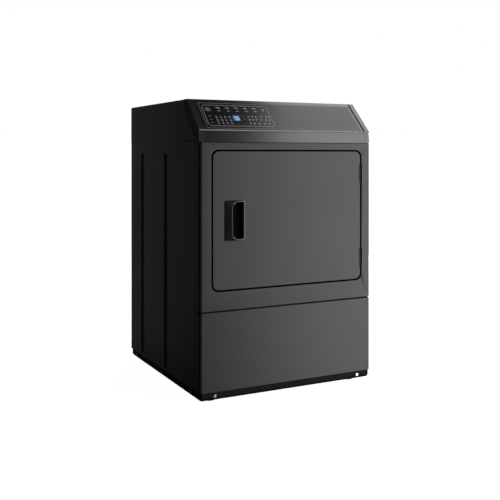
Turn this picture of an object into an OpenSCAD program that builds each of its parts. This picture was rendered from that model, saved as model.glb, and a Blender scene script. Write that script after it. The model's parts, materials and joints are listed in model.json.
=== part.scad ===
// Front-control clothes dryer, modelled as the sheet-metal cabinet, door, drum and drive train
// that it bolts together from. +Z is up, the door faces -Y, and the feet stand on z = 0.
// Depths are counted back from the front face of the cabinet.

/* [Cabinet] */
// Width across the side panels
cab_w = 683; // [660:1:820]
// Depth from the front face to the back panel
cab_d = 704; // [700:1:860]
// Height from the bottom of the base pan to the top panel
cab_h = 1011; // [1000:1:1220]
// Height of the base pan above the floor, on the screwed-in feet
foot_gap = 12; // [10:1:40]
// Thickness of the cabinet sheet
sheet = 1; // [0.7:0.1:1.4]
// Height of the base pan's rim
base_h = 28; // [18:1:40]
// Radius of the front panels' vertical corners
corner_r = 10; // [6:1:16]
// Depth of the front panels' side returns
return_d = 34; // [26:1:45]
// Height of the lower access panel
lower_h = 264.5; // [220:0.5:300]
// Gap between the two front panels
seam_gap = 5.5; // [2:0.5:6]

/* [Control hood] */
// Height of the hood, from the seam below it to the top
hood_h = 151; // [147:1:156]
// Height of the hood's upright band
band_h = 32; // [24:1:36]
// Lean of the slanted control face
slope_angle = 45; // [43:1:46]
// Width of each end cap
cap_w = 20; // [14:1:26]
// Thickness of the hood moulding
hood_wall = 2.5; // [2:0.5:3]

/* [Control panel] */
// Width of the inset panel
panel_w = 618; // [560:1:625]
// Height of the inset panel, along the slope
panel_h = 131; // [126:1:134]
// Travel of every key
key_travel = 0.8; // [0.4:0.1:1.2]
// Clearance round a key in its window
key_gap = 0.4; // [0.3:0.1:0.6]
// Distance from the panel's face to the circuit board
board_gap = 11; // [9:0.5:13]

/* [Door] */
// Width of the door's outer panel
door_w = 590.5; // [540:0.5:600]
// Height of the door's outer panel
door_h = 464.5; // [420:0.5:475]
// Gap round the door
door_gap = 6; // [4:0.5:8]
// Thickness of the door over its flanges
door_t = 18; // [16:1:20]
// Corner radius of the door
door_r = 22; // [16:1:30]
// How far the inner panel's tray reaches into the opening
tray_t = 12; // [8:1:12]
// Width of the opening into the drum
mouth_w = 480; // [420:1:490]
// Height of the opening into the drum
mouth_h = 380; // [330:1:390]
// Corner radius of the opening into the drum
mouth_r = 90; // [80:1:110]
// Length of each hinge
hinge_l = 65; // [50:1:80]
// Radius of the hinge barrel
barrel_r = 3.2; // [2.8:0.1:3.6]
// Radius of the hinge pin
pin_r = 1.5; // [1.2:0.1:1.8]
// How far the pull stands proud of the door
pull_proud = 16; // [10:1:22]
// Width of the pull
pull_w = 77; // [70:1:90]
// Height of the pull
pull_h = 135; // [115:1:160]

/* [Drum] */
// Outer radius of the drum
drum_r = 325; // [300:1:327]
// Length of the drum
drum_l = 570; // [520:1:572]
// Thickness of the drum's sheet
drum_wall = 1.2; // [0.8:0.1:1.5]
// Height of each baffle
baffle_h = 70; // [50:1:85]
// Number of baffles
baffle_count = 3; // [2:1:4]
// Radius of the rear support rollers
roller_r = 35; // [28:1:40]
// Width of the support rollers
roller_w = 24; // [18:1:28]
// Radius of the roller shafts
roller_shaft_r = 6; // [5:0.5:8]

/* [Drive] */
// Radius of the motor's body
motor_r = 62; // [50:1:66]
// Length of the motor's body
motor_l = 150; // [120:1:160]
// Radius of the motor shaft
shaft_r = 6; // [5:0.5:8]
// Radius of the belt groove on the motor pulley
pulley_r = 10; // [9:0.5:14]
// Width of the belt
belt_w = 8; // [6:0.5:10]
// Thickness of the belt
belt_t = 2; // [1.5:0.1:2.5]
// Radius of the idler wheel
idler_r = 25; // [20:1:30]
// Radius of the blower wheel
blower_r = 82; // [70:1:86]
// Number of blades on the blower wheel
blade_count = 24; // [16:1:32]

/* [Air path] */
// Radius of the exhaust pipe
pipe_r = 50.8; // [45:0.1:52]
// Wall of the exhaust pipe
pipe_wall = 0.8; // [0.6:0.1:1.2]
// How far the exhaust collar stands out of the back
collar_l = 40; // [30:1:60]
// Width of the lint filter
filter_w = 276; // [220:1:280]
// Depth of the lint filter below its rim
filter_h = 165; // [120:1:170]
// Thickness of the lint filter
filter_t = 14; // [10:1:16]

/* [Hidden] */
$fn = 96;

run_gap = 0.3;       // air between rolling pieces
fit_gap = 0.05;      // radial clearance of a shaft in its bore
seat_gap = 0.5;      // clearance of a panel in its seat

// Cabinet levels and depths
half_w = cab_w / 2;
front_y = pull_proud - (cab_d + pull_proud + collar_l) / 2;
base_z = foot_gap;
panels_z = base_z + base_h;
lower_top_z = panels_z + lower_h;
front_bottom_z = lower_top_z + seam_gap;
top_z = base_z + cab_h;
hood_z = top_z - hood_h;
hood_gap = 2;                       // seam below the hood and the top
base_inset = 2;                     // base rim behind the panels' faces
roll_r = 12;                        // rolled edge of the base pan
flange = 15;                        // turned-in edges of the cabinet sheets
side_top_z = hood_z + 6;            // top edge of the side panels

// Feet
leg_x = half_w - 61;
leg_depths = [60, cab_d - 64];
pad_r = 19;
pad_h = 8;
stem_r = 5;
stem_l = 50;
nut_h = 6;

// Control hood: depths and heights of its section
band_foot_d = 4;
band_head_d = 7.5;
band_top_z = hood_z + hood_gap + band_h;
nose_r = 4;                         // bright bead along the foot of the slope
nose_d = 9.5;
groove_d = 10.5;
slope_d = 3;
slope_z = band_top_z + 8;
slope_l = (top_z - slope_z) / sin(slope_angle);
ridge_d = slope_d + slope_l * cos(slope_angle);
shelf_d = ridge_d + 22;             // back edge of the hood on top
cap_band = 44;                      // width of an end cap, square to the slope
panel_foot = 7;                     // panel's lower edge above the foot of the slope
board_t = 1.6;

// Keys: [x, distance up the slope] of each centre
key_row = 103;
start_at = [-280, key_row];
power_at = [-65, key_row + 3];
cycle_x0 = -238;
cycle_pitch = 35;
cycle_size = [27, 30];
start_size = [31, 32];
power_r = 9;
option_x = -281;
option_rows = [69, 53, 37];
option_size = [24, 11];
time_x = -155;
time_rows = [70, 54];
time_size = [14, 11];
display_at = [-183, 62];
display_size = [28, 27];
panel_t = hood_wall;
key_proud = 0.4;
stem_gap = key_travel + 0.4;        // key stem to the board, more than the travel

// Door and its opening
door_x = 2.5;
door_z = hood_z - 261.5;
mouth_x = door_x;
recess_w = door_w + 2 * door_gap;
recess_h = door_h + 2 * door_gap;
recess_r = door_r + door_gap / 2;
seal_gap = 0.3;
recess_d = door_t + door_gap;       // face of the ledge that the seal meets
hinge_x = door_x + door_w / 2 + 7.75;
hinge_d = -1.5;
hinge_offsets = [152, -156];        // centres of the hinges from the door's centre
leaf_t = 1.5;
notch_w = 4.5;                      // notch in the door's edge at each hinge
pull_x = -212.5;
pull_z = door_z - 1;
strike_x = door_x - mouth_w / 2 - 35;
switch_z = door_z + 79;

// Drum and bulkheads
drum_z = door_z + 9.5;
bulkhead_d = 60;
drum_d = bulkhead_d + 10;
drum_end_d = drum_d + drum_l;
rear_bulkhead_d = drum_end_d + 6;
lip_r = drum_r - 25.7;              // inside of the drum's front lip
felt_t = 5;
ring_r = lip_r - run_gap - felt_t;  // bulkhead ring that the front felt sits on
ring_l = 24;
lip_l = 14;
bead_h = 3;
rear_felt_r = drum_r - drum_wall - run_gap;
rear_ring_r = rear_felt_r - felt_t;
roller_angle = 35;
roller_reach = drum_r + roller_r + run_gap;
roller_d = drum_end_d - 34;
roller_at = [roller_reach * sin(roller_angle), drum_z - roller_reach * cos(roller_angle)];

// Drive
motor_at = [90, base_z + 138];
motor_d = 240;
belt_d = 430;
idler_at = [31, base_z + 152];
lever_at = [20, base_z + 58];
lever_t = 3;
lever_d = belt_d + 8;
spring_at = [75, base_z + 54];
spring_r = 5;
wire_r = 0.8;
anchor_z = base_z + 12;

// Air path
pipe_at = [-110, base_z + 100];
bend_r = 70;
bend_d = 115;                       // depth of the pipe where it leaves the blower
blower_d = 66;
blower_l = 68;
duct_d = 28;
duct_t = bulkhead_d - duct_d;
duct_wall = 1.5;
duct_w = filter_w + 38;
duct_z = base_z + 63;
mouth_floor_z = door_z - mouth_h / 2;
filter_d = 36;
inlet_r = 60;

// Back of the cabinet
cord_at = [240, base_z + 83];
cord_hole_r = 14.3;
block_z = base_z + 138;

// ---------- Helpers ----------

// Rectangle w by h about the origin, with corners of radius r
module rounded(w, h, r) {
    square([w - 2 * r, h], center = true);
    square([w, h - 2 * r], center = true);
    for (x = [-1, 1], y = [-1, 1]) translate([x * (w / 2 - r), y * (h / 2 - r)]) circle(r);
}

// Extrudes a drawing of the front view back from depth d by t
module slab(d, t) {
    translate([0, front_y + d + t, 0]) rotate([90, 0, 0]) linear_extrude(t) children();
}

// Extrudes a side view, drawn as [depth, height], from x by w
module across(x, w) {
    translate([x, front_y, 0]) rotate([90, 0, 90]) linear_extrude(w) children();
}

// Round bar that runs back from depth d at [x, z]
module rod(at, d, l, r) {
    translate([at[0], front_y + d, at[1]]) rotate([-90, 0, 0]) cylinder(h = l, r = r);
}

// Box given as ranges of x, depth and height
module block(x, d, z) {
    translate([x[0], front_y + d[0], z[0]]) cube([x[1] - x[0], d[1] - d[0], z[1] - z[0]]);
}

// Turns a [radius, depth] outline about a line that runs back from depth d at [x, z]
module turned(at, d) {
    translate([at[0], front_y + d, at[1]]) rotate([-90, 0, 0]) rotate_extrude() children();
}

// Frame of the slanted face: x across, y up the slope, z out of the face
module on_slope() {
    translate([0, front_y + slope_d, slope_z]) rotate([slope_angle, 0, 0]) children();
}

// ---------- Cabinet ----------

// Box with rolled lower edges and corners of radius r, open at height h
module rolled_box(w, d, h, r) {
    translate([0, 0, r]) linear_extrude(h - r) rounded(w, d, r);
    translate([-w / 2 + r, -d / 2 + r, 0]) cube([w - 2 * r, d - 2 * r, h]);
    for (s = [-1, 1]) {
        translate([s * (w / 2 - r), -d / 2 + r, r]) rotate([-90, 0, 0]) cylinder(h = d - 2 * r, r = r);
        translate([-w / 2 + r, s * (d / 2 - r), r]) rotate([0, 90, 0]) cylinder(h = w - 2 * r, r = r);
        for (t = [-1, 1]) translate([s * (w / 2 - r), t * (d / 2 - r), r]) sphere(r);
    }
}

module base_pan() color("#161616") {
    w = cab_w - 2 * base_inset;
    d = cab_d - 2 * base_inset;
    difference() {
        translate([0, front_y + cab_d / 2, base_z]) difference() {
            rolled_box(w, d, base_h, roll_r);
            translate([0, 0, sheet])
                rolled_box(w - 2 * sheet, d - 2 * sheet, base_h, roll_r - sheet);
        }
        for (x = [-1, 1], d = leg_depths) translate([x * leg_x, front_y + d, base_z - 1])
            cylinder(h = 5, r = stem_r + 0.5);
        for (at = base_screws) screw_at(at) translate([0, 0, -1]) cylinder(h = 8, r = screw_r + 0.2);
    }
}

// Side panel on the left: sheet with two pressed recesses and turned-in edges
recess_spans = [[162, 326], [cab_d - 290, cab_d - 126]];
press_depth = 4;
recess_foot_z = base_z + 41;
recess_head_z = hood_z - 36;
knockout_at = [cab_d - 211, pipe_at[1]];
knockout_r = 55;

// Pressed rectangle in the side, grown by a margin and sunk to a depth
module pressing(span, grow, depth) {
    block([-half_w - 1, -half_w + depth], [span[0] - grow, span[1] + grow],
        [recess_foot_z - grow, recess_head_z + grow]);
}

module left_side() {
    inner = -half_w + sheet;
    difference() {
        union() {
            block([-half_w, inner], [return_d, cab_d - sheet], [panels_z, side_top_z]);
            block([-half_w, -half_w + flange], [return_d, return_d + sheet], [panels_z, side_top_z]);
            block([-half_w, -half_w + flange], [cab_d - 2 * sheet, cab_d - sheet],
                [panels_z, side_top_z]);
            block([-half_w, -half_w + flange], [return_d, cab_d - sheet], [panels_z, panels_z + sheet]);
            for (span = recess_spans) intersection() {
                pressing(span, sheet, press_depth + sheet);
                block([-half_w, 0], [0, cab_d], [0, top_z]);
            }
        }
        for (span = recess_spans) pressing(span, 0, press_depth);
        translate([-half_w + press_depth, front_y + knockout_at[0], knockout_at[1]])
            rotate([0, 90, 0]) difference() {
                cylinder(h = sheet, r = knockout_r + 0.6, center = true);
                cylinder(h = 2 * sheet, r = knockout_r - 0.6, center = true);
            }
    }
}

module left_side_panel() color("#1c1c1c") left_side();

module right_side_panel() color("#1c1c1c") mirror([1, 0, 0]) left_side();

louver_rows = 8;
rear_half = half_w - sheet - seat_gap;  // the back sits between the top's cheeks
module rear_panel() color("#8a8c8e") difference() {
    block([-rear_half, rear_half], [cab_d - sheet, cab_d], [panels_z, top_z - 14]);
    rod(pipe_at, cab_d - 10, 20, pipe_r + 1.2);
    rod(cord_at, cab_d - 10, 20, cord_hole_r);
    for (side = [-1, 1], row = [0:louver_rows - 1])
        slab(cab_d - 5, 10) translate([side * 160, base_z + 560 + row * 14]) rounded(120, 5, 2.4);
    for (x = [-1, 1], z = [panels_z + 12, top_z - 26])
        rod([x * (half_w - 9), z], cab_d - 5, 10, 2.2);
}

// Side outline of the top's cheeks, cut along the end caps' sloping edge
cheek_z = side_top_z + hood_gap;
seam_rise = slope_z - slope_d - cap_band / cos(slope_angle);
module cheek_outline() {
    polygon([[cab_d, top_z + 1], [cab_d, cheek_z], [cheek_z + hood_gap - seam_rise, cheek_z],
        [shelf_d + 1, shelf_d + 1 + seam_rise - hood_gap], [shelf_d + 1, top_z + 1]]);
}

top_edge_r = 6;
// Arch of half-width w with rounded shoulders, from the side seam up to z
module arch(w, z, r) {
    foot = side_top_z;
    translate([-w, foot]) square([2 * w, z - foot - r]);
    translate([-w + r, foot]) square([2 * (w - r), z - foot]);
    for (s = [-1, 1]) translate([s * (w - r), z - r]) circle(r);
}

module cabinet_top() color("#1c1c1c") {
    intersection() {
        slab(0, cab_d) difference() {
            arch(half_w, top_z, top_edge_r);
            translate([0, -1]) arch(half_w - sheet, top_z - sheet + 1, top_edge_r - sheet);
        }
        across(-half_w - 1, cab_w + 2) cheek_outline();
    }
    slab(cab_d - sheet, sheet) intersection() {
        arch(half_w, top_z, top_edge_r);
        translate([-half_w, top_z - 13]) square([cab_w, 13]);
    }
    for (s = [0, 1]) mirror([s, 0, 0]) {
        block([-half_w + sheet, -half_w + 2 * sheet], [shelf_d + 30, cab_d - 30],
            [cheek_z - 14, cheek_z + 12]);
        block([-half_w + sheet / 2, -half_w + 2 * sheet], [shelf_d + 30, cab_d - 30],
            [cheek_z, cheek_z + 12]);
    }
}

// Plan of the wrapped front: face, rounded corners and side returns
module wrap_plan(inset) {
    w = half_w - inset;
    r = corner_r - inset;
    translate([-w + r, inset]) square([2 * (w - r), return_d - inset]);
    translate([-w, inset + r]) square([2 * w, return_d - inset - r]);
    for (s = [-1, 1]) translate([s * (w - r), inset + r]) circle(r);
}

// Wrapped sheet between two heights, with turned-back edges above and below
module wrapped_sheet(z0, z1) {
    translate([0, front_y, z0]) difference() {
        linear_extrude(z1 - z0) wrap_plan(0);
        translate([0, 0, sheet]) linear_extrude(z1 - z0 - 2 * sheet) {
            wrap_plan(sheet);
            translate([-half_w + sheet, return_d - 1]) square([cab_w - 2 * sheet, 2]);
        }
        translate([-half_w + flange, flange, -1])
            cube([cab_w - 2 * flange, return_d, z1 - z0 + 2]);
    }
}

module mouth(grow = 0) {
    translate([mouth_x, door_z]) rounded(mouth_w + 2 * grow, mouth_h + 2 * grow, mouth_r + grow);
}

module recess(grow = 0) {
    translate([door_x, door_z]) rounded(recess_w + 2 * grow, recess_h + 2 * grow, recess_r + grow);
}

module hinge_spans() {
    for (o = hinge_offsets) translate([0, 0, door_z + o]) children();
}

filter_slot_t = filter_t + 6;
module front_panel() color("#3c3c3c") difference() {
    union() {
        difference() {
            wrapped_sheet(front_bottom_z, hood_z);
            slab(-1, 3) recess();
        }
        slab(0, recess_d + sheet) difference() {
            recess(sheet);
            recess();
        }
        slab(recess_d, sheet) difference() {
            recess(sheet);
            mouth();
        }
        slab(recess_d, bulkhead_d - recess_d) difference() {
            mouth(sheet);
            mouth();
        }
    }
    hinge_spans() translate([hinge_x - barrel_r - 3, front_y - 1, -hinge_l / 2 - 1])
        cube([2 * barrel_r + 4.2, 4, hinge_l + 2]);
    block([mouth_x - filter_w / 2 - 2, mouth_x + filter_w / 2 + 2],
        [filter_d - 3, filter_d - 3 + filter_slot_t], [mouth_floor_z - 5, mouth_floor_z + 5]);
    slab(recess_d - 1, 4) translate([strike_x, door_z]) square([18, 30], center = true);
    rod([strike_x, switch_z], recess_d - 1, 4, plunger_r + 1);
}

module lower_access_panel() color("#3c3c3c") wrapped_sheet(panels_z, lower_top_z);

module leveling_legs() color("#2a2a2a") for (x = [-1, 1], d = leg_depths)
    translate([x * leg_x, front_y + d, 0]) {
        cylinder(h = pad_h, r1 = pad_r, r2 = pad_r - 4);
        translate([0, 0, pad_h]) cylinder(h = stem_l - pad_h, r = stem_r);
        translate([0, 0, base_z + sheet]) difference() {
            cylinder(h = nut_h, r = 9.5, $fn = 6);
            translate([0, 0, -1]) cylinder(h = nut_h + 2, r = stem_r + fit_gap);
        }
    }

// Hex washer-head screws through the base rim: [side, depth or x, height]
screw_r = 2;
screw_head_r = 5;
base_screws = concat([for (s = [-1, 1], d = [cab_d - 64, cab_d - 345, 81]) [s, d, base_z + 15]],
    [for (x = [-285, 285]) [0, x, base_z + 15]]);

// Places a screw with its shank along +Z, driven inwards from the rim's face
module screw_at(at) {
    if (at[0] == 0) translate([at[1], front_y + base_inset, at[2]]) rotate([-90, 0, 0]) children();
    else translate([at[0] * (half_w - base_inset), front_y + at[1], at[2]])
        rotate([0, -90 * at[0], 0]) children();
}

module cabinet_screws() color("#b8bcc0") for (at = base_screws) screw_at(at) {
    translate([0, 0, -base_inset]) cylinder(h = base_inset, r = screw_head_r * 0.8, $fn = 6);
    translate([0, 0, -0.8]) cylinder(h = 0.8, r = screw_head_r);
    cylinder(h = 9, r = screw_r);
}

// ---------- Control hood ----------

hood_foot_z = hood_z + hood_gap;
nose_z = slope_z + (nose_d - slope_d) * tan(slope_angle) - nose_r / cos(slope_angle);
hood_half = half_w - cap_w;

// Height of the slanted face at depth d, k below its surface
function slope_at(d, k) = slope_z + (d - slope_d) * tan(slope_angle) - k / cos(slope_angle);

module hood_outline() {
    polygon([[band_foot_d, hood_foot_z], [band_head_d, band_top_z], [groove_d, band_top_z],
        [groove_d, nose_z], [nose_d - nose_r * sin(slope_angle), nose_z + nose_r * cos(slope_angle)],
        [ridge_d, top_z], [shelf_d, top_z], [shelf_d, hood_foot_z]]);
    translate([nose_d, nose_z]) circle(nose_r);
}

module hood_inside() {
    k = hood_wall;
    inner_ridge_d = slope_d + (top_z - k - slope_z + k / cos(slope_angle)) / tan(slope_angle);
    polygon([[band_foot_d + k, hood_foot_z - 1], [band_head_d + k, band_top_z - k],
        [groove_d + k, band_top_z - k], [groove_d + k, slope_at(groove_d + k, k)],
        [inner_ridge_d, top_z - k], [shelf_d + 1, top_z - k], [shelf_d + 1, hood_foot_z - 1]]);
}

// The inset panel's outline on the slope, grown by a margin
module panel_plan(grow = 0) {
    translate([0, panel_foot + panel_h / 2]) rounded(panel_w + 2 * grow, panel_h + 2 * grow, 5 + grow);
}

module control_hood() color("#3a3a3a") difference() {
    union() {
        across(-hood_half + seat_gap, 2 * (hood_half - seat_gap)) difference() {
            hood_outline();
            hood_inside();
        }
        block([-hood_half + 12, hood_half - 12], [band_foot_d + 1.5, band_foot_d + 6],
            [hood_z, hood_foot_z + 3]);
    }
    on_slope() translate([0, 0, -2 * hood_wall]) linear_extrude(4 * hood_wall) panel_plan(seat_gap);
}

module cap_region() {
    polygon([[0, hood_foot_z], [0, top_z + 1], [shelf_d, top_z + 1], [shelf_d, shelf_d + seam_rise],
        [cheek_z - seam_rise, cheek_z], [return_d - 2, cheek_z], [return_d - 2, hood_foot_z]]);
}

module left_cap() difference() {
    across(-half_w, cap_w) intersection() {
        hood_outline();
        cap_region();
    }
    across(-half_w + hood_wall, cap_w) hood_inside();
}

module hood_end_caps() color("#2c2c2c") {
    left_cap();
    mirror([1, 0, 0]) left_cap();
}

// Keys: [name index, centre on the slope, size]
function cycle_at(i) = [cycle_x0 + (i - 1) * cycle_pitch, key_row];
function option_at(i) = [option_x, option_rows[i - 1]];
function time_at(i) = [time_x, time_rows[i - 1]];

// Every key's window, grown by the gap round it
module key_windows() {
    translate(start_at) rounded(start_size[0] + 2 * key_gap, start_size[1] + 2 * key_gap, 3 + key_gap);
    translate(power_at) circle(power_r + key_gap);
    for (i = [1:5]) translate(cycle_at(i))
        rounded(cycle_size[0] + 2 * key_gap, cycle_size[1] + 2 * key_gap, 3 + key_gap);
    for (i = [1:3]) translate(option_at(i))
        rounded(option_size[0] + 2 * key_gap, option_size[1] + 2 * key_gap, 3 + key_gap);
    for (i = [1:2]) translate(time_at(i))
        rounded(time_size[0] + 2 * key_gap, time_size[1] + 2 * key_gap, 3 + key_gap);
}

backing_foot = panel_foot + 5;      // the backing's lower edge clears the hood's nose
board_w = 264;
board_h = 108;
board_at = [-172, panel_foot + 68];
post_at = [[-126, -48], [-126, 48], [126, -48], [126, 48]];
module control_panel() color("#303030") on_slope() {
    difference() {
        union() {
            translate([0, 0, -panel_t]) linear_extrude(panel_t) panel_plan();
            translate([0, backing_foot + (panel_h - 1) / 2, -panel_t - 1.5]) linear_extrude(1.5)
                rounded(panel_w + 10, panel_h - 1, 5);
        }
        translate([0, 0, -3 * panel_t]) linear_extrude(4 * panel_t) {
            key_windows();
            translate(display_at) rounded(display_size[0], display_size[1], 1);
        }
        translate([0, 0, -panel_t - 2]) linear_extrude(2) flange_room();
    }
    for (p = post_at) translate([board_at[0] + p[0], board_at[1] + p[1], -board_gap])
        cylinder(h = board_gap - panel_t / 2, r = 2.5);
}

// Clearance behind the panel for the keys' flanges
module flange_room() {
    translate([-310, backing_foot - 1]) square([272, panel_h - 6]);
}

module display_window() color("#6478a4") on_slope() translate([display_at[0], display_at[1], -panel_t])
    linear_extrude(panel_t - 0.2) rounded(display_size[0] - 0.1, display_size[1] - 0.1, 0.9);

module control_board() color("#1f4d33") on_slope()
translate([board_at[0], board_at[1], -board_gap - board_t]) {
    translate([-board_w / 2, -board_h / 2, 0]) cube([board_w, board_h, board_t]);
    for (x = [-90, -50, 20]) translate([x, 30, -12]) cube([22, 16, 12]);
    translate([70, 22, -9]) cube([30, 28, 9]);
}

// Key with its skirt behind the panel and a stem that reaches for the board
module key_parts(at, stem) {
    skirt = panel_t + 0.5;
    on_slope() translate([at[0], at[1], 0]) {
        translate([0, 0, -skirt]) linear_extrude(skirt + key_proud) children(0);
        translate([0, 0, -skirt - 1.2]) linear_extrude(1.2) children(1);
        translate([0, 0, -board_gap + stem_gap])
            cylinder(h = board_gap - stem_gap - skirt - 1, r = stem);
    }
}

module square_key(at, size) key_parts(at, 2.5) {
    rounded(size[0], size[1], 3);
    rounded(size[0] + 2.4, size[1] + 2.4, 3);
}

module start_key() color("#2e3d35") square_key(start_at, start_size);

module power_key() color("#303030") key_parts(power_at, 2.5) {
    circle(power_r);
    circle(power_r + 1.4);
}

module cycle_key_1() color("#303030") square_key(cycle_at(1), cycle_size);
module cycle_key_2() color("#303030") square_key(cycle_at(2), cycle_size);
module cycle_key_3() color("#303030") square_key(cycle_at(3), cycle_size);
module cycle_key_4() color("#303030") square_key(cycle_at(4), cycle_size);
module cycle_key_5() color("#303030") square_key(cycle_at(5), cycle_size);
module option_key_1() color("#303030") square_key(option_at(1), option_size);
module option_key_2() color("#303030") square_key(option_at(2), option_size);
module option_key_3() color("#303030") square_key(option_at(3), option_size);
module time_up_key() color("#303030") square_key(time_at(1), time_size);
module time_down_key() color("#303030") square_key(time_at(2), time_size);

// ---------- Door ----------

module door_plan(inset = 0) {
    translate([door_x, door_z]) rounded(door_w - 2 * inset, door_h - 2 * inset, door_r - inset);
}

// Outline of the pull: straight above and below, bowed at both sides
pull_bow = 2.5;
bow_r = pull_h * pull_h / (8 * pull_bow) + pull_bow / 2;
module pull_plan(inset = 0) {
    w = pull_w - 2 * inset;
    translate([pull_x, pull_z]) intersection() {
        square([w, pull_h - 2 * inset], center = true);
        translate([bow_r - w / 2, 0]) circle(bow_r);
        translate([w / 2 - bow_r, 0]) circle(bow_r);
    }
}

door_edge_x = door_x + door_w / 2;
module hinge_notches() {
    hinge_spans() block([door_edge_x - notch_w, door_edge_x + 1], [-1, recess_d],
        [-hinge_l / 2 - 0.5, hinge_l / 2 + 0.5]);
}

inner_t = 1.5;
tray_gap = 8;
pull_rim = 3.5;                     // overlap of the pull's rim on the door
module door_outer_panel() color("#3f3f3f") difference() {
    slab(0, door_t) door_plan();
    slab(sheet, door_t) door_plan(sheet);
    slab(-1, 3) pull_plan(pull_rim);
    hinge_notches();
}

module door_inner_panel() color("#c9cbcd") difference() {
    union() {
        slab(door_t - inner_t, inner_t) door_plan(sheet);
        slab(door_t - inner_t, tray_t + inner_t) mouth(-tray_gap);
    }
    slab(door_t - inner_t - 1, tray_t + 1) mouth(-tray_gap - inner_t);
    hinge_notches();
}

pull_depth = door_t - inner_t - 1;
pocket_floor = pull_depth - 1.2;
lip_x = -5;
pocket_h = pull_h - 9;
pocket_r = 19.5;
// Opening of the pocket: rounded where it meets the grip
module pocket_plan() {
    right = pull_w / 2 - 4.5;
    translate([pull_x, pull_z]) intersection() {
        translate([lip_x + 40, 0]) rounded(80, pocket_h, pocket_r);
        translate([lip_x, -pocket_h / 2]) square([right - lip_x, pocket_h]);
    }
}

// Prism drawn in plan, [x, depth] about the pull's centre, between two heights
module pull_prism(h) {
    translate([pull_x, front_y, pull_z - h / 2]) linear_extrude(h) children();
}

module door_handle() color("#262626") difference() {
    union() {
        slab(-1.2, 1.2) pull_plan();
        slab(0, pull_depth) pull_plan(pull_rim);
        intersection() {
            pull_prism(pull_h) polygon([[-pull_w / 2, 0], [-pull_w / 2, -0.8],
                [lip_x - 3, -pull_proud + 0.4], [lip_x - 1.6, -pull_proud], [lip_x, -pull_proud + 0.8],
                [lip_x, 0]]);
            slab(-pull_proud - 1, pull_proud + 2) pull_plan();
        }
    }
    slab(-2, 2 + pocket_floor) pocket_plan();
    pull_prism(pocket_h - 2 * pocket_r - 4) polygon([[lip_x + 1, -pull_proud + 2.8],
        [lip_x - 0.8, -pull_proud + 2.8], [lip_x - 16, -2], [lip_x - 19, 3],
        [lip_x - 19, pocket_floor - 1], [lip_x + 1, pocket_floor - 1]]);
}

module door_seal() color("#55585a") slab(door_t, recess_d - door_t - seal_gap) difference() {
    mouth(18);
    mouth(6);
}

knuckle_l = hinge_l / 3;
knuckle_gap = 0.35;
// Knuckle about the hinge line between two heights, with the pin's bore
module knuckle(z0, z1, bore) {
    translate([hinge_x, front_y + hinge_d, z0]) difference() {
        cylinder(h = z1 - z0, r = barrel_r);
        translate([0, 0, -1]) cylinder(h = z1 - z0 + 2, r = bore);
    }
}

module knuckle_room(z0, z1) {
    translate([hinge_x, front_y + hinge_d, z0]) cylinder(h = z1 - z0, r = barrel_r + knuckle_gap);
}

module door_hinge_leaves() color("#a9acae") hinge_spans() {
    k = knuckle_l / 2 - knuckle_gap / 2;
    rear_d = hinge_d + barrel_r;
    notch_x = door_edge_x - notch_w;
    knuckle(-k, k, pin_r + fit_gap);
    difference() {
        union() {
            block([notch_x, hinge_x], [rear_d - leaf_t, rear_d], [-hinge_l / 2, hinge_l / 2]);
            block([notch_x, notch_x + leaf_t], [rear_d - leaf_t, door_t], [-hinge_l / 2, hinge_l / 2]);
        }
        knuckle_room(k + knuckle_gap, hinge_l);
        knuckle_room(-hinge_l, -k - knuckle_gap);
        translate([hinge_x, front_y + hinge_d, -hinge_l]) cylinder(h = 2 * hinge_l, r = pin_r + fit_gap);
    }
}

module frame_hinge_leaves() color("#a9acae") hinge_spans() {
    k = knuckle_l / 2 + knuckle_gap / 2;
    plate = [recess_half + sheet, recess_half + sheet + leaf_t];
    for (s = [-1, 1]) knuckle(s > 0 ? k : -hinge_l / 2, s > 0 ? hinge_l / 2 : -k, pin_r);
    difference() {
        block(plate, [hinge_d + pin_r, recess_d - 4], [-hinge_l / 2, hinge_l / 2]);
        knuckle_room(-k, k);
        translate([hinge_x, front_y + hinge_d, -hinge_l]) cylinder(h = 2 * hinge_l, r = pin_r);
    }
}
recess_half = door_x + recess_w / 2;

module hinge_pins() color("#c0c3c5") hinge_spans()
    translate([hinge_x, front_y + hinge_d, -hinge_l / 2 - 1]) {
        cylinder(h = hinge_l + 1, r = pin_r);
        cylinder(h = 1, r = barrel_r - 0.4);
    }

strike_l = 22;
module door_strike() color("#b8bbbd") {
    block([strike_x - 6, strike_x + 6], [door_t, door_t + 1.5], [door_z - 22, door_z + 22]);
    block([strike_x - 2, strike_x + 2], [door_t, door_t + strike_l], [door_z - 9, door_z + 9]);
}

module door_catch() color("#4a4d50") difference() {
    block([strike_x - 14, strike_x + 14], [recess_d + sheet, door_t + strike_l + 10],
        [door_z - 24, door_z + 24]);
    block([strike_x - 8, strike_x + 8], [recess_d, door_t + strike_l + 6], [door_z - 15, door_z + 15]);
}

plunger_r = 3;
plunger_travel = 6;
module door_switch() color("#2c2e30") difference() {
    block([strike_x - 10, strike_x + 10], [recess_d + sheet, recess_d + 28], [switch_z - 16, switch_z + 16]);
    rod([strike_x, switch_z], recess_d, 22, plunger_r + fit_gap);
}

module switch_plunger() color("#d8dadc")
    rod([strike_x, switch_z], door_t + 0.4, recess_d - door_t + plunger_travel + 9, plunger_r);

// ---------- Drum and bulkheads ----------

module drum() color("#d0d2d4") turned([0, drum_z], drum_d) {
    difference() {
        square([drum_r, drum_l]);
        translate([-1, drum_wall]) square([drum_r - drum_wall + 1, drum_l]);
        translate([-1, -1]) square([lip_r + 1, drum_wall + 2]);
    }
    translate([lip_r, 0]) square([drum_wall, lip_l]);
    for (y = [110, drum_l - 120]) translate([drum_r - 0.2, y]) square([bead_h, 8]);
}

baffle_l = drum_l - 130;
baffle_wall = 3;
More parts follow.
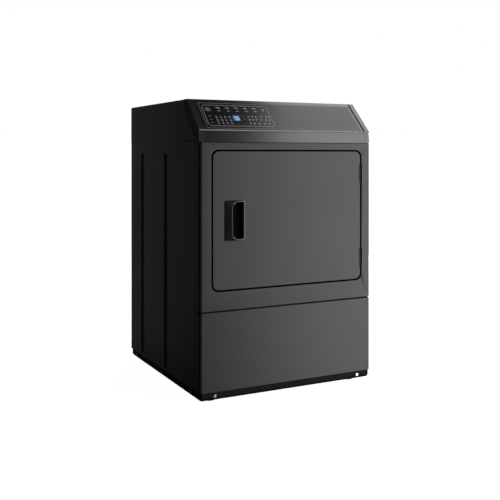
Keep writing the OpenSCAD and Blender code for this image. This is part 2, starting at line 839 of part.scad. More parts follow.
// Section of a baffle: flared foot on the drum and a rounded crest of radius r
module baffle_plan(r) {
    polygon([[10, -r], [baffle_h + 5, -r - 30], [baffle_h + 5, r + 30], [10, r]]);
    translate([10, 0]) circle(r);
}

module drum_baffles() color("#e2e3e4") translate([0, front_y + drum_d + 60 + baffle_l, drum_z])
    rotate([90, 0, 0]) linear_extrude(baffle_l) for (i = [0:baffle_count - 1])
        rotate(90 + i * 360 / baffle_count) intersection() {
            circle(drum_r - drum_wall);
            translate([drum_r - baffle_h, 0]) difference() {
                baffle_plan(14);
                baffle_plan(14 - baffle_wall);
            }
        }

bulkhead_low_z = base_z + 250;
// Bulkhead sheet: full width between the side panels, stepped in where it enters the top
module bulkhead_sheet(high_z) {
    step_z = hood_z - 10;
    inset = hood_wall + 1.5;
    translate([-half_w + sheet, bulkhead_low_z]) square([cab_w - 2 * sheet, step_z - bulkhead_low_z]);
    translate([-half_w + inset, bulkhead_low_z]) square([cab_w - 2 * inset, high_z - bulkhead_low_z]);
}

module front_bulkhead() color("#b4b7ba") {
    slab(bulkhead_d, sheet) difference() {
        bulkhead_sheet(drum_z + ring_r + 24);
        mouth();
    }
    turned([0, drum_z], bulkhead_d) translate([ring_r - drum_wall, sheet]) square([drum_wall, ring_l]);
}

heater_x = [46, 214];
heater_z = [drum_z - 150, drum_z + 180];
heater_t = 46;
module rear_bulkhead() color("#b4b7ba") {
    slab(rear_bulkhead_d, sheet) difference() {
        bulkhead_sheet(drum_z + drum_r + 5);
        for (i = [0:6], j = [0:10]) translate([heater_x[0] + 24 + i * 20, heater_z[0] + 60 + j * 20])
            circle(4);
    }
    turned([0, drum_z], rear_bulkhead_d - ring_l) translate([rear_ring_r - drum_wall, 0])
        square([drum_wall, ring_l]);
}

module drum_felt_seals() color("#8d8f8c") {
    turned([0, drum_z], bulkhead_d + 6) translate([ring_r, 0]) square([felt_t, 9]);
    turned([0, drum_z], rear_bulkhead_d - ring_l) translate([rear_ring_r, 0]) square([felt_t, 12]);
}

module drum_glides() color("#e4e2da") for (a = [-32, 32])
    translate([0, front_y + bulkhead_d + 17, drum_z]) rotate([-90, 0, 0]) rotate(90 + a - 12)
        rotate_extrude(angle = 24) translate([ring_r, 0]) square([felt_t, 6]);

module left_roller() color("#3a3b3d") roller(-1);
module right_roller() color("#3a3b3d") roller(1);
module roller(s) turned([s * roller_at[0], roller_at[1]], roller_d) difference() {
    union() {
        translate([roller_shaft_r + fit_gap, 0]) square([12 - fit_gap, roller_w]);
        translate([roller_shaft_r + 10, 4]) square([roller_r - roller_shaft_r - 14, roller_w - 8]);
        translate([roller_r - 6, 0]) square([6, roller_w]);
    }
}

module roller_shafts() color("#a9acae") for (s = [-1, 1]) {
    at = [s * roller_at[0], roller_at[1]];
    rod(at, roller_d - 5, rear_bulkhead_d - roller_d + 5, roller_shaft_r);
    rod(at, roller_d - 5, 4, roller_shaft_r + 4);
    rod(at, roller_d + roller_w + 1, rear_bulkhead_d - roller_d - roller_w - 1, roller_shaft_r + 3);
}

// ---------- Drive ----------

function span(a, b) = norm([b[0] - a[0], b[1] - a[1]]);
function heading(a, b) = atan2(b[1] - a[1], b[0] - a[0]);
// Direction from both centres to a common tangent line; a negative radius crosses over
function tangent(a, b, ra, rb, side) = heading(a, b) + side * acos((ra - rb) / span(a, b));
function polar(c, r, a) = [c[0] + r * cos(a), c[1] + r * sin(a)];

drum_at = [0, drum_z];
function arc_points(c, r, from, to, n) = [for (i = [0:n]) polar(c, r, from + (to - from) * i / n)];

// Closed line k out from the belt's inner face: over the drum, past the idler, under the pulley
function belt_line(k) = let(
    rd = drum_r + run_gap,
    rp = pulley_r + run_gap,
    ri = idler_r + run_gap + belt_t,
    right = tangent(drum_at, motor_at, rd, rp, 1),
    left = tangent(drum_at, idler_at, rd, -ri, -1),
    low = tangent(motor_at, idler_at, rp, -ri, 1)
) concat(arc_points(drum_at, rd + k, right, left + 360, 120),
    arc_points(idler_at, ri - k, left + 180, low - 180, 6),
    arc_points(motor_at, rp + k, low, right + 360, 18));

module drum_belt() color("#202122") slab(belt_d - belt_w / 2, belt_w) difference() {
    polygon(belt_line(belt_t));
    polygon(belt_line(0));
}

plate_z = base_z + sheet;
ear_d = lever_d + lever_t + 1;
module drive_motor() color("#6d7073") {
    difference() {
        union() {
            rod(motor_at, motor_d, motor_l, motor_r);
            rod(motor_at, motor_d - 8, motor_l + 16, 20);
        }
        rod(motor_at, motor_d - 20, motor_l + 40, shaft_r + fit_gap);
    }
    for (d = [motor_d + 12, motor_d + motor_l - 26]) difference() {
        block([motor_at[0] - 50, motor_at[0] + 50], [d, d + 14], [plate_z + 1, motor_at[1] - 10]);
        rod(motor_at, d - 1, 16, motor_r - 1);
    }
    block([4, motor_at[0] + 62], [motor_d, ear_d + 3], [plate_z, plate_z + 2]);
    block([lever_at[0] - 12, lever_at[0] + 12], [ear_d, ear_d + 3], [plate_z, lever_at[1] + 12]);
    rod(lever_at, lever_d - 4, ear_d - lever_d + 4, 4);
    rod(lever_at, lever_d - 4, 3.5, 6);
    block([spring_at[0] - 6, spring_at[0] + 6], [lever_d - 1, lever_d + 1], [plate_z, anchor_z + 6]);
    rod([spring_at[0], anchor_z + 2], lever_d - 12, 12, 1.2);
}

module motor_shaft() color("#b9bcbf") {
    rod(motor_at, blower_d + 8, belt_d + 12 - blower_d - 8, shaft_r);
    turned(motor_at, belt_d - belt_w / 2 - 3) {
        square([pulley_r, belt_w + 6]);
        square([pulley_r + 3, 2]);
        translate([0, belt_w + 4]) square([pulley_r + 3, 2]);
    }
}

wheel_l = blower_l - 16;
module blower_wheel() color("#d9dadb") difference() {
    union() {
        rod(motor_at, blower_d + 8 + wheel_l - 3, 3, blower_r);
        rod(motor_at, blower_d + 8 + wheel_l - 34, 34, 15);
        turned(motor_at, blower_d + 8) translate([blower_r - 8, 0]) square([8, 3]);
        for (i = [0:blade_count - 1]) translate([motor_at[0], front_y + blower_d + 8, motor_at[1]])
            rotate([0, i * 360 / blade_count, 0]) translate([blower_r - 22, 0, -0.8])
                cube([20, wheel_l, 1.6]);
    }
    rod(motor_at, blower_d, blower_l, shaft_r);
}

case_wall = 2;
case_r = blower_r + 14;
outlet_x = [pipe_at[0] + bend_r + 10, 60];
outlet_d = [bend_d - pipe_r - 3, bend_d + pipe_r + 3];
outlet_z = [pipe_at[1] - pipe_r - 3, pipe_at[1] + pipe_r + 3];
module blower_housing() color("#cfd0d1") {
    difference() {
        union() {
            rod(motor_at, blower_d, blower_l, case_r);
            rod(motor_at, bulkhead_d, blower_d - bulkhead_d, inlet_r + case_wall);
            block(outlet_x, outlet_d, outlet_z);
        }
        rod(motor_at, blower_d + case_wall, blower_l - 2 * case_wall, case_r - case_wall);
        rod(motor_at, bulkhead_d - 1, blower_d, inlet_r);
        rod(motor_at, blower_d, blower_l + 5, shaft_r + 3);
        block([outlet_x[0] + case_wall, outlet_x[1] - case_wall],
            [outlet_d[0] + case_wall, outlet_d[1] - case_wall],
            [outlet_z[0] + case_wall, outlet_z[1] - case_wall]);
        translate([outlet_x[0] - 1, front_y + bend_d, pipe_at[1]]) rotate([0, 90, 0])
            cylinder(h = 6, r = pipe_r);
    }
    block([motor_at[0] + 20, motor_at[0] + 60], [blower_d, blower_d + 12],
        [plate_z, motor_at[1] - case_r + 12]);
}

// Bar of width w between two points
module bar(a, b, w) {
    translate(a) rotate(heading(a, b)) translate([0, -w / 2]) square([span(a, b), w]);
}

module idler_lever() color("#8f9295") {
    slab(lever_d, lever_t) difference() {
        union() {
            translate(lever_at) circle(11);
            translate(idler_at) circle(9);
            translate(spring_at) circle(6);
            bar(lever_at, idler_at, 16);
            bar(lever_at, spring_at, 11);
        }
        translate(lever_at) circle(4 + fit_gap);
    }
    rod(idler_at, belt_d - 11, lever_d - belt_d + 11, 4);
    rod(idler_at, belt_d - 11, 2.5, 7);
    rod(spring_at, lever_d - 12, 12, 1.2);
}

module idler_wheel() color("#d9dadb") turned(idler_at, belt_d - 7) {
    translate([4 + fit_gap, 0]) square([idler_r - 4 - fit_gap, 14]);
    for (y = [0, 12]) translate([idler_r - 1, y]) square([3.5, 2]);
}

// Extension spring: closed coils between a hook at each end
coil_pitch = 1.5 * wire_r;
spring_low = anchor_z + 6;
coil_l = spring_at[1] - 4 - spring_low;
coils = floor(coil_l / coil_pitch);
module idler_spring() color("#b0b3b5") translate([spring_at[0], front_y + lever_d - 7, spring_low]) {
    rotate_extrude($fn = 32) for (i = [0:coils])
        translate([spring_r - wire_r, i * coil_pitch]) circle(wire_r, $fn = 16);
    for (z = [-wire_r, coils * coil_pitch - wire_r]) translate([0, 0, z])
        cylinder(h = 2 * wire_r, r = spring_r - wire_r);
    translate([0, 0, anchor_z + 3.4 - spring_low]) cylinder(h = spring_low - anchor_z - 3, r = wire_r);
    translate([0, 0, coils * coil_pitch]) cylinder(h = spring_at[1] - 1.4 - spring_low - coils * coil_pitch,
        r = wire_r);
}

// ---------- Air path ----------

module pipe_ring() difference() {
    circle(pipe_r);
    circle(pipe_r - pipe_wall);
}

// Elbow from the blower, with a straight end that the duct slides into
elbow_end_d = bend_d + bend_r;
module exhaust_elbow() color("#c3c6c9") {
    start_x = pipe_at[0] + bend_r;
    translate([start_x, front_y + bend_d, pipe_at[1]]) rotate([0, 90, 0]) linear_extrude(11) pipe_ring();
    translate([start_x, front_y + bend_d + bend_r, pipe_at[1]]) rotate(180)
        rotate_extrude(angle = 90) translate([bend_r, 0]) pipe_ring();
    slab(elbow_end_d, 18) translate(pipe_at) pipe_ring();
}

// Straight duct to the back, with its collar outside
module exhaust_duct() color("#c3c6c9") {
    outside = pipe_r - pipe_wall;
    inside = outside - pipe_wall;
    start_d = elbow_end_d + 2;
    run_l = cab_d - start_d;
    turned(pipe_at, start_d) polygon([[inside, 0], [outside, 0], [outside, run_l], [pipe_r, run_l],
        [pipe_r, run_l + collar_l], [outside, run_l + collar_l], [outside, run_l + 6],
        [inside, run_l + 6]]);
}

duct_top_z = mouth_floor_z - sheet;
module filter_duct() color("#9da0a3") difference() {
    block([mouth_x - duct_w / 2, mouth_x + duct_w / 2], [duct_d, duct_d + duct_t], [duct_z, duct_top_z]);
    block([mouth_x - duct_w / 2 + duct_wall, mouth_x + duct_w / 2 - duct_wall],
        [duct_d + duct_wall, duct_d + duct_t - duct_wall], [duct_z + duct_wall, duct_top_z - duct_wall]);
    block([mouth_x - filter_w / 2 - 2, mouth_x + filter_w / 2 + 2],
        [filter_d - 3, filter_d - 3 + filter_slot_t], [duct_top_z - 5, duct_top_z + 1]);
    rod(motor_at, bulkhead_d - 3, 4, inlet_r);
}

filter_edge = 9;
module lint_filter() color("#d6d8da") {
    low_z = mouth_floor_z - filter_h;
    rim_z = mouth_floor_z + run_gap;
    difference() {
        block([mouth_x - filter_w / 2, mouth_x + filter_w / 2], [filter_d, filter_d + filter_t],
            [low_z, rim_z]);
        for (s = [-1, 1]) {
            x = mouth_x + s * filter_w / 4;
            w = filter_w / 4 - filter_edge;
            block([x - w, x + w], [filter_d - 1, filter_d + filter_t / 2 - 0.5],
                [low_z + filter_edge, rim_z - filter_edge]);
            block([x - w, x + w], [filter_d + filter_t / 2 + 0.5, filter_d + filter_t + 1],
                [low_z + filter_edge, rim_z - filter_edge]);
        }
    }
    block([mouth_x - filter_w / 2 - 8, mouth_x + filter_w / 2 + 8],
        [filter_d - 4.5, filter_d + filter_t + 4.5], [rim_z, rim_z + 3]);
    slab(filter_d + filter_t / 2 - 3, 6) translate([mouth_x, rim_z + 3]) difference() {
        translate([-34, -1]) square([68, 19]);
        translate([-28, -2]) square([56, 14]);
    }
}

element_x0 = heater_x[0] + 14;
element_pitch = 28;
element_r = 4;
element_d = rear_bulkhead_d + sheet + heater_t / 2;
element_z = [heater_z[0] + 40, heater_z[1] - 40];
module heater_box() color("#a6a9ac") difference() {
    slab(rear_bulkhead_d + sheet, heater_t) translate([heater_x[0], heater_z[0]])
        square([heater_x[1] - heater_x[0], heater_z[1] - heater_z[0]]);
    slab(rear_bulkhead_d, heater_t) translate([heater_x[0] + sheet, heater_z[0] + sheet])
        square([heater_x[1] - heater_x[0] - 2 * sheet, heater_z[1] - heater_z[0] - 2 * sheet]);
    for (i = [0, 5]) translate([element_x0 + i * element_pitch, front_y + element_d, heater_z[0] - 1])
        cylinder(h = 3, r = element_r);
    for (i = [0:3]) block([heater_x[0] + 36 + i * 26, heater_x[0] + 52 + i * 26],
        [rear_bulkhead_d + 8, rear_bulkhead_d + 38], [heater_z[0] - 1, heater_z[0] + 2]);
}

module half_turn(x, z, up) {
    translate([x, front_y + element_d, z]) mirror([0, 0, up ? 0 : 1]) rotate([90, 0, 0])
        rotate_extrude(angle = 180) translate([element_pitch / 2, 0]) circle(element_r);
}

module heating_element() color("#77797b") {
    for (i = [0:5]) {
        foot = (i == 0 || i == 5) ? heater_z[0] - 14 : element_z[0];
        translate([element_x0 + i * element_pitch, front_y + element_d, foot])
            cylinder(h = element_z[1] - foot, r = element_r);
    }
    for (i = [0, 2, 4]) half_turn(element_x0 + (i + 0.5) * element_pitch, element_z[1], true);
    for (i = [1, 3]) half_turn(element_x0 + (i + 0.5) * element_pitch, element_z[0], false);
}

module terminal_block() color("#2e3032") {
    block([cord_at[0] - 34, cord_at[0] + 34], [cab_d - sheet - 16, cab_d - sheet], [block_z, block_z + 26]);
    for (i = [-1, 0, 1]) rod([cord_at[0] + i * 21, block_z + 13], cab_d - sheet - 20, 5, 5);
    for (i = [-1, 1]) block([cord_at[0] + i * 10.5 - 1, cord_at[0] + i * 10.5 + 1],
        [cab_d - sheet - 22, cab_d - sheet - 15], [block_z, block_z + 26]);
}

base_pan();
left_side_panel();
right_side_panel();
rear_panel();
cabinet_top();
front_panel();
lower_access_panel();
leveling_legs();
cabinet_screws();
control_hood();
hood_end_caps();
control_panel();
display_window();
control_board();
start_key();
power_key();
cycle_key_1();
cycle_key_2();
cycle_key_3();
cycle_key_4();
cycle_key_5();
option_key_1();
option_key_2();
option_key_3();
time_up_key();
time_down_key();
door_outer_panel();
door_inner_panel();
door_handle();
door_seal();
door_hinge_leaves();
frame_hinge_leaves();
hinge_pins();
door_strike();
door_catch();
door_switch();
switch_plunger();
drum();
drum_baffles();
front_bulkhead();
rear_bulkhead();
drum_felt_seals();
drum_glides();
drum_belt();
left_roller();
right_roller();
roller_shafts();
drive_motor();
motor_shaft();
blower_wheel();
blower_housing();
idler_lever();
idler_wheel();
idler_spring();
exhaust_elbow();
exhaust_duct();
filter_duct();
lint_filter();
heater_box();
heating_element();
terminal_block();
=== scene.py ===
import json
import math

import bmesh
import bpy
from mathutils import Matrix, Vector


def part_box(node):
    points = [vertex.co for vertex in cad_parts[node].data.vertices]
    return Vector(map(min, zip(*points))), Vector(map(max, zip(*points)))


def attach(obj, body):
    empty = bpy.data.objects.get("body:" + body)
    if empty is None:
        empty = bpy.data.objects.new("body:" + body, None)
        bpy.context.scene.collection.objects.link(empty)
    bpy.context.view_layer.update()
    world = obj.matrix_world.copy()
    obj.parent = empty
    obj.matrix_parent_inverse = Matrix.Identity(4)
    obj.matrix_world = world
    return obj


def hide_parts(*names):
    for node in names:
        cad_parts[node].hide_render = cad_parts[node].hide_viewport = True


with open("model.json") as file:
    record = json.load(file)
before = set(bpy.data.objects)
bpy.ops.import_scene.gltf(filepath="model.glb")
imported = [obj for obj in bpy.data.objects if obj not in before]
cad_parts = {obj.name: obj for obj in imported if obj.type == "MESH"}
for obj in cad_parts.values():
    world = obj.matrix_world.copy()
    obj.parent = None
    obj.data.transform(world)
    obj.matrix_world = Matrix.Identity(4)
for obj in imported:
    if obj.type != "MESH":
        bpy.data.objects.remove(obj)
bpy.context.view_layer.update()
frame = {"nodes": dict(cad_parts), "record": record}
MM = 0.001

# Lines of the cabinet that the pieces are placed by
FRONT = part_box("lower_access_panel")[0][1]
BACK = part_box("rear_panel")[1][1]
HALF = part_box("front_panel")[1][0]
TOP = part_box("cabinet_top")[1][2]
HOOD_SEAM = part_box("front_panel")[1][2]
SEAM_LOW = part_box("lower_access_panel")[1][2]
SEAM_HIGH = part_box("front_panel")[0][2]
HINGE_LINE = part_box("hinge_pins")[1][0] - 2.8 * MM

# Frame of the slanted face: x across, y up the slope, z out of it
SLOPE = Matrix.Translation((0.0, FRONT + 3 * MM, TOP - 109 * MM)) @ Matrix.Rotation(math.radians(45), 4, "X")


# ---------- Shader language ----------

class Value:
    """A shader number: sums and products of it add Math nodes."""

    def __init__(self, finish, socket):
        self.finish, self.socket = finish, socket

    def join(self, operation, *others):
        return self.finish.node("ShaderNodeMath", {"operation": operation}, others)

    def __add__(self, other):
        return self.join("ADD", self, other)

    def __sub__(self, other):
        return self.join("SUBTRACT", self, other)

    def __rsub__(self, other):
        return self.join("SUBTRACT", other, self)

    def __mul__(self, other):
        return self.join("MULTIPLY", self, other)

    def __gt__(self, other):
        return self.join("GREATER_THAN", self, other)

    def __lt__(self, other):
        return self.join("LESS_THAN", self, other)

    __radd__ = __add__
    __rmul__ = __mul__


class Finish:
    """A material on one Principled surface, with its patterns in object coordinates."""

    def __init__(self, name, **constants):
        self.material = bpy.data.materials.new(name)
        self.material.use_nodes = True
        self.tree = self.material.node_tree
        self.surface = self.tree.nodes["Principled BSDF"]
        for key, value in constants.items():
            self.surface.inputs[key.replace("_", " ")].default_value = value
        self.place = self.node("ShaderNodeTexCoord", {}, {}, "Object")

    def node(self, kind, settings, inputs, output=0):
        made = self.tree.nodes.new(kind)
        for key, value in settings.items():
            setattr(made, key, value)
        pairs = inputs.items() if isinstance(inputs, dict) else enumerate(inputs)
        for key, value in pairs:
            if isinstance(value, Value):
                self.tree.links.new(value.socket, made.inputs[key])
            else:
                made.inputs[key].default_value = value
        return Value(self, made.outputs[output])

    def feed(self, socket, value):
        self.tree.links.new(value.socket, self.surface.inputs[socket])

    def stretched(self, x, y, z):
        return self.node("ShaderNodeMapping", {}, {"Vector": self.place, "Scale": (x, y, z)})

    def noise(self, scale, detail=2.0, roughness=0.5, place=None):
        sockets = {"Vector": place or self.place, "Scale": scale, "Detail": detail, "Roughness": roughness}
        return self.node("ShaderNodeTexNoise", {}, sockets)

    def part(self, axis):
        return self.node("ShaderNodeSeparateXYZ", {}, [self.place], axis)

    def ease(self, value, low, high):
        sockets = {"Value": value, "From Min": low, "From Max": high}
        return self.node("ShaderNodeMapRange", {"interpolation_type": "SMOOTHSTEP"}, sockets)

    def blend(self, amount, dark, light):
        sockets = {0: amount, 6: dark, 7: light}
        return self.node("ShaderNodeMix", {"data_type": "RGBA"}, sockets, 2)

    def holes(self, axes, pitch, radius):
        """Staggerless round holes on two axes: 1 inside a hole, 0 on the sheet."""
        u, v = (self.part(axis).join("PINGPONG", self.part(axis), pitch / 2) for axis in axes)
        return (u * u + v * v) < radius * radius

    def relief(self, height, depth, strength=1.0):
        sockets = {"Height": height, "Distance": depth, "Strength": strength}
        self.feed("Normal", self.node("ShaderNodeBump", {}, sockets))


def grey(level, tint=(1.0, 1.0, 1.0)):
    return (level * tint[0], level * tint[1], level * tint[2], 1.0)


# ---------- Finishes ----------

def enamel(name, level, sheen, peel=1.0, gloss=1.5):
    """Baked enamel on sheet steel: fine orange peel and a faint drift of tone and gloss."""
    made = Finish(name, IOR=gloss)
    drift = made.noise(3.1, 3.0)
    specks = made.noise(2600.0, 1.0)
    made.feed("Base Color", made.blend(drift * 0.8 + specks * 0.2, grey(level * 0.86), grey(level * 1.14)))
    made.feed("Roughness", sheen - 0.03 + drift * 0.05 + specks * 0.02)
    made.relief(made.noise(420.0, 2.0) + specks * 0.3, 0.00003 * peel)
    return made.material


def moulded(name, level, sheen, tint=(1.0, 1.0, 1.0), grain=1.0, gloss=1.46):
    """Moulded plastic with a spark-eroded grain."""
    made = Finish(name, IOR=gloss)
    drift = made.noise(9.0, 2.0)
    pits = made.noise(1500.0, 3.0, 0.6)
    tone = drift * 0.7 + pits * 0.3
    made.feed("Base Color", made.blend(tone, grey(level * 0.84, tint), grey(level * 1.16, tint)))
    made.feed("Roughness", sheen - 0.05 + pits * 0.1)
    made.relief(pits, 0.00005 * grain)
    return made.material


def cap_moulding():
    """End caps: satin in front; their sides that face the cabinet's sides are rougher and painted darker, a
    painted shade.
    """
    made = Finish("cap_plastic", IOR=1.5)
    pits = made.noise(1500.0, 3.0, 0.6)
    out = made.part(0).join("ABSOLUTE", made.part(0))
    side = made.ease(out, HALF - 1.2 * MM, HALF - 0.3 * MM)
    # Painted shade: the sides of the caps are painted darker than their fronts
    made.feed("Base Color", made.blend(side, grey(0.012), grey(0.002)))
    made.feed("Roughness", 0.2 + pits * 0.08 + side * 0.3)
    made.feed("Metallic", side * 0.35)
    made.relief(pits, 0.00002)
    return made.material


def pull_moulding():
    """The pull: grained black plastic, with painted shade in its pocket, which is near black and dull."""
    made = Finish("pull_plastic", IOR=1.46)
    pits = made.noise(1500.0, 3.0, 0.6)
    pocket_shade = made.ease(made.part(1), FRONT - 1 * MM, FRONT + 2 * MM)
    shell = made.blend(pits, grey(0.012), grey(0.018))
    # Painted shade: the pocket is painted near black and dull
    made.feed("Base Color", made.blend(pocket_shade, shell, grey(0.002)))
    made.feed("Metallic", pocket_shade * 0.85)
    made.feed("Roughness", 0.34 + pits * 0.08 + pocket_shade * 0.5)
    made.relief(pits, 0.00005)
    return made.material


def zinc(name, level, sheen):
    """Galvanised sheet with its spangle."""
    made = Finish(name, Metallic=1.0)
    flakes = {"Vector": made.place, "Scale": 95.0, "Randomness": 1.0}
    flake = made.node("ShaderNodeTexVoronoi", {}, flakes, "Color")
    spangle = made.node("ShaderNodeSeparateColor", {}, [flake], 0)
    smear = made.noise(14.0, 3.0)
    tone = spangle * 0.55 + smear * 0.45
    made.feed("Base Color", made.blend(tone, grey(level * 0.8), grey(level * 1.15)))
    made.feed("Roughness", sheen - 0.06 + spangle * 0.12)
    made.relief(spangle, 0.00002)
    return made.material


def turned_steel(name, level, sheen, streak=(1.0, 1.0, 1.0)):
    """Bare or plated steel with fine machining lines."""
    made = Finish(name, Metallic=1.0)
    lines = made.noise(900.0, 3.0, 0.6, made.stretched(*streak))
    drift = made.noise(30.0, 2.0)
    made.feed("Base Color", made.blend(lines * 0.5 + drift * 0.5, grey(level * 0.84), grey(level * 1.12)))
    made.feed("Roughness", sheen - 0.05 + lines * 0.12)
    made.relief(lines, 0.00002)
    return made.material


def hinge_steel():
    """Plated hinge: bare at the knuckles, painted with the cabinet where the leaves reach in."""
    made = Finish("hinge_steel", IOR=1.5)
    bare = made.ease(made.part(0), HINGE_LINE - 3.6 * MM, HINGE_LINE - 2.6 * MM)
    lines = made.noise(900.0, 3.0, 0.6, made.stretched(1.0, 1.0, 0.05))
    made.feed("Base Color", made.blend(bare, grey(0.006), made.blend(lines, grey(0.11), grey(0.14))))
    made.feed("Metallic", bare * 1.0)
    made.feed("Roughness", 0.7 - bare * 0.3 + lines * 0.1)
    return made.material


def drum_enamel():
    """Powder-coated drum with a fine grain and a faint drift of tone."""
    made = Finish("drum_coat", IOR=1.5)
    grain = made.noise(800.0, 2.0)
    drift = made.noise(4.0, 2.0)
    made.feed("Base Color", made.blend(drift, grey(0.5), grey(0.62)))
    made.feed("Roughness", 0.26 + grain * 0.1)
    made.relief(grain, 0.00004)
    return made.material


def cabinet_front():
    """Front enamel, with painted shade: matt black where the door's recess turns in behind the face."""
    made = Finish("front_black", IOR=1.5)
    drift = made.noise(3.1, 3.0)
    specks = made.noise(2600.0, 1.0)
    shade = made.ease(made.part(1), FRONT + 1.2 * MM, FRONT + 3 * MM)
    recess_shade = (made.part(0).join("ABSOLUTE", made.part(0)) < HALF - 16 * MM) * shade
    face = made.blend(drift * 0.8 + specks * 0.2, grey(0.0165), grey(0.022))
    # Painted shade: the recess walls behind the face are painted near black and dull
    made.feed("Base Color", made.blend(recess_shade, face, grey(0.001)))
    made.feed("Metallic", recess_shade * 0.9)
    made.feed("Roughness", 0.44 + drift * 0.05 + specks * 0.02 + recess_shade * 0.4)
    made.relief(made.noise(420.0, 2.0) + specks * 0.3, 0.00003)
    return made.material


def perforated(name, level, axes, pitch, radius):
    """Coated sheet with punched holes, the holes painted dark as painted shade through them."""
    made = Finish(name, IOR=1.5)
    hole = made.holes(axes, pitch, radius)
    grain = made.noise(800.0, 2.0)
    made.feed("Base Color", made.blend(hole, grey(level), grey(0.01)))
    made.feed("Roughness", 0.32 + grain * 0.08 + hole * 0.4)
    made.relief(grain * 0.1 - hole, 0.0004)
    return made.material


def screen_mesh():
    """Filter frame with its fine woven screen showing in the recessed windows, the screen's openings painted
    dark as painted shade.
    """
    made = Finish("filter_screen", IOR=1.46)
    weave = made.holes((0, 2), 1.4 * MM, 0.5 * MM)
    low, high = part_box("lint_filter")
    middle = (low[1] + high[1]) / 2
    inside = made.part(1).join("COMPARE", made.part(1), middle, 1.2 * MM)
    pits = made.noise(900.0, 2.0)
    frame_tone = made.blend(pits, grey(0.5), grey(0.62))
    screen = made.blend(weave, grey(0.35), grey(0.05))
    made.feed("Base Color", made.blend(inside, frame_tone, screen))
    made.feed("Roughness", 0.4 + inside * 0.3)
    made.relief(pits * 0.3 - inside * weave, 0.0002)
    return made.material


def felt(name, level):
    made = Finish(name, Roughness=0.95)
    hairs = made.noise(1900.0, 5.0, 0.7)
    made.feed("Base Color", made.blend(hairs, grey(level * 0.6), grey(level * 1.3)))
    made.relief(hairs, 0.0006)
    return made.material


def rubber(name, level, sheen=0.7):
    made = Finish(name, IOR=1.5)
    bloom = made.noise(60.0, 4.0, 0.6)
    made.feed("Base Color", made.blend(bloom, grey(level * 0.7), grey(level * 1.3)))
    made.feed("Roughness", sheen - 0.06 + bloom * 0.12)
    made.relief(made.noise(900.0, 2.0), 0.00008)
    return made.material


def ink(name, colour, glow=0.0):
    """Printed or lit marks: one ink with a little uneven cover."""
    made = Finish(name, Roughness=0.5)
    cover = made.noise(1400.0, 2.0)
    thin = tuple(0.8 * c for c in colour[:3]) + (1.0,)
    made.feed("Base Color", made.blend(cover, thin, colour))
    if glow:
        made.surface.inputs["Emission Color"].default_value = colour
        made.surface.inputs["Emission Strength"].default_value = glow
    return made.material


def lit_glass():
    """Backlit display window: blue glow that is brighter towards its middle."""
    made = Finish("display_glass", IOR=1.5, Roughness=0.1, Emission_Strength=0.55)
    low, high = (Vector(corner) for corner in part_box("display_window"))
    centre = (low + high) / 2
    lines = made.noise(500.0, 1.0)
    across = (made.part(0) - centre.x).join("ABSOLUTE", made.part(0) - centre.x)
    fade = made.ease(across, 0.0, (high.x - low.x) * 0.6)
    glow = made.blend(fade, (0.12, 0.22, 0.5, 1.0), (0.05, 0.1, 0.28, 1.0))
    made.feed("Emission Color", glow)
    made.feed("Base Color", made.blend(lines, (0.02, 0.04, 0.1, 1.0), (0.03, 0.05, 0.13, 1.0)))
    return made.material


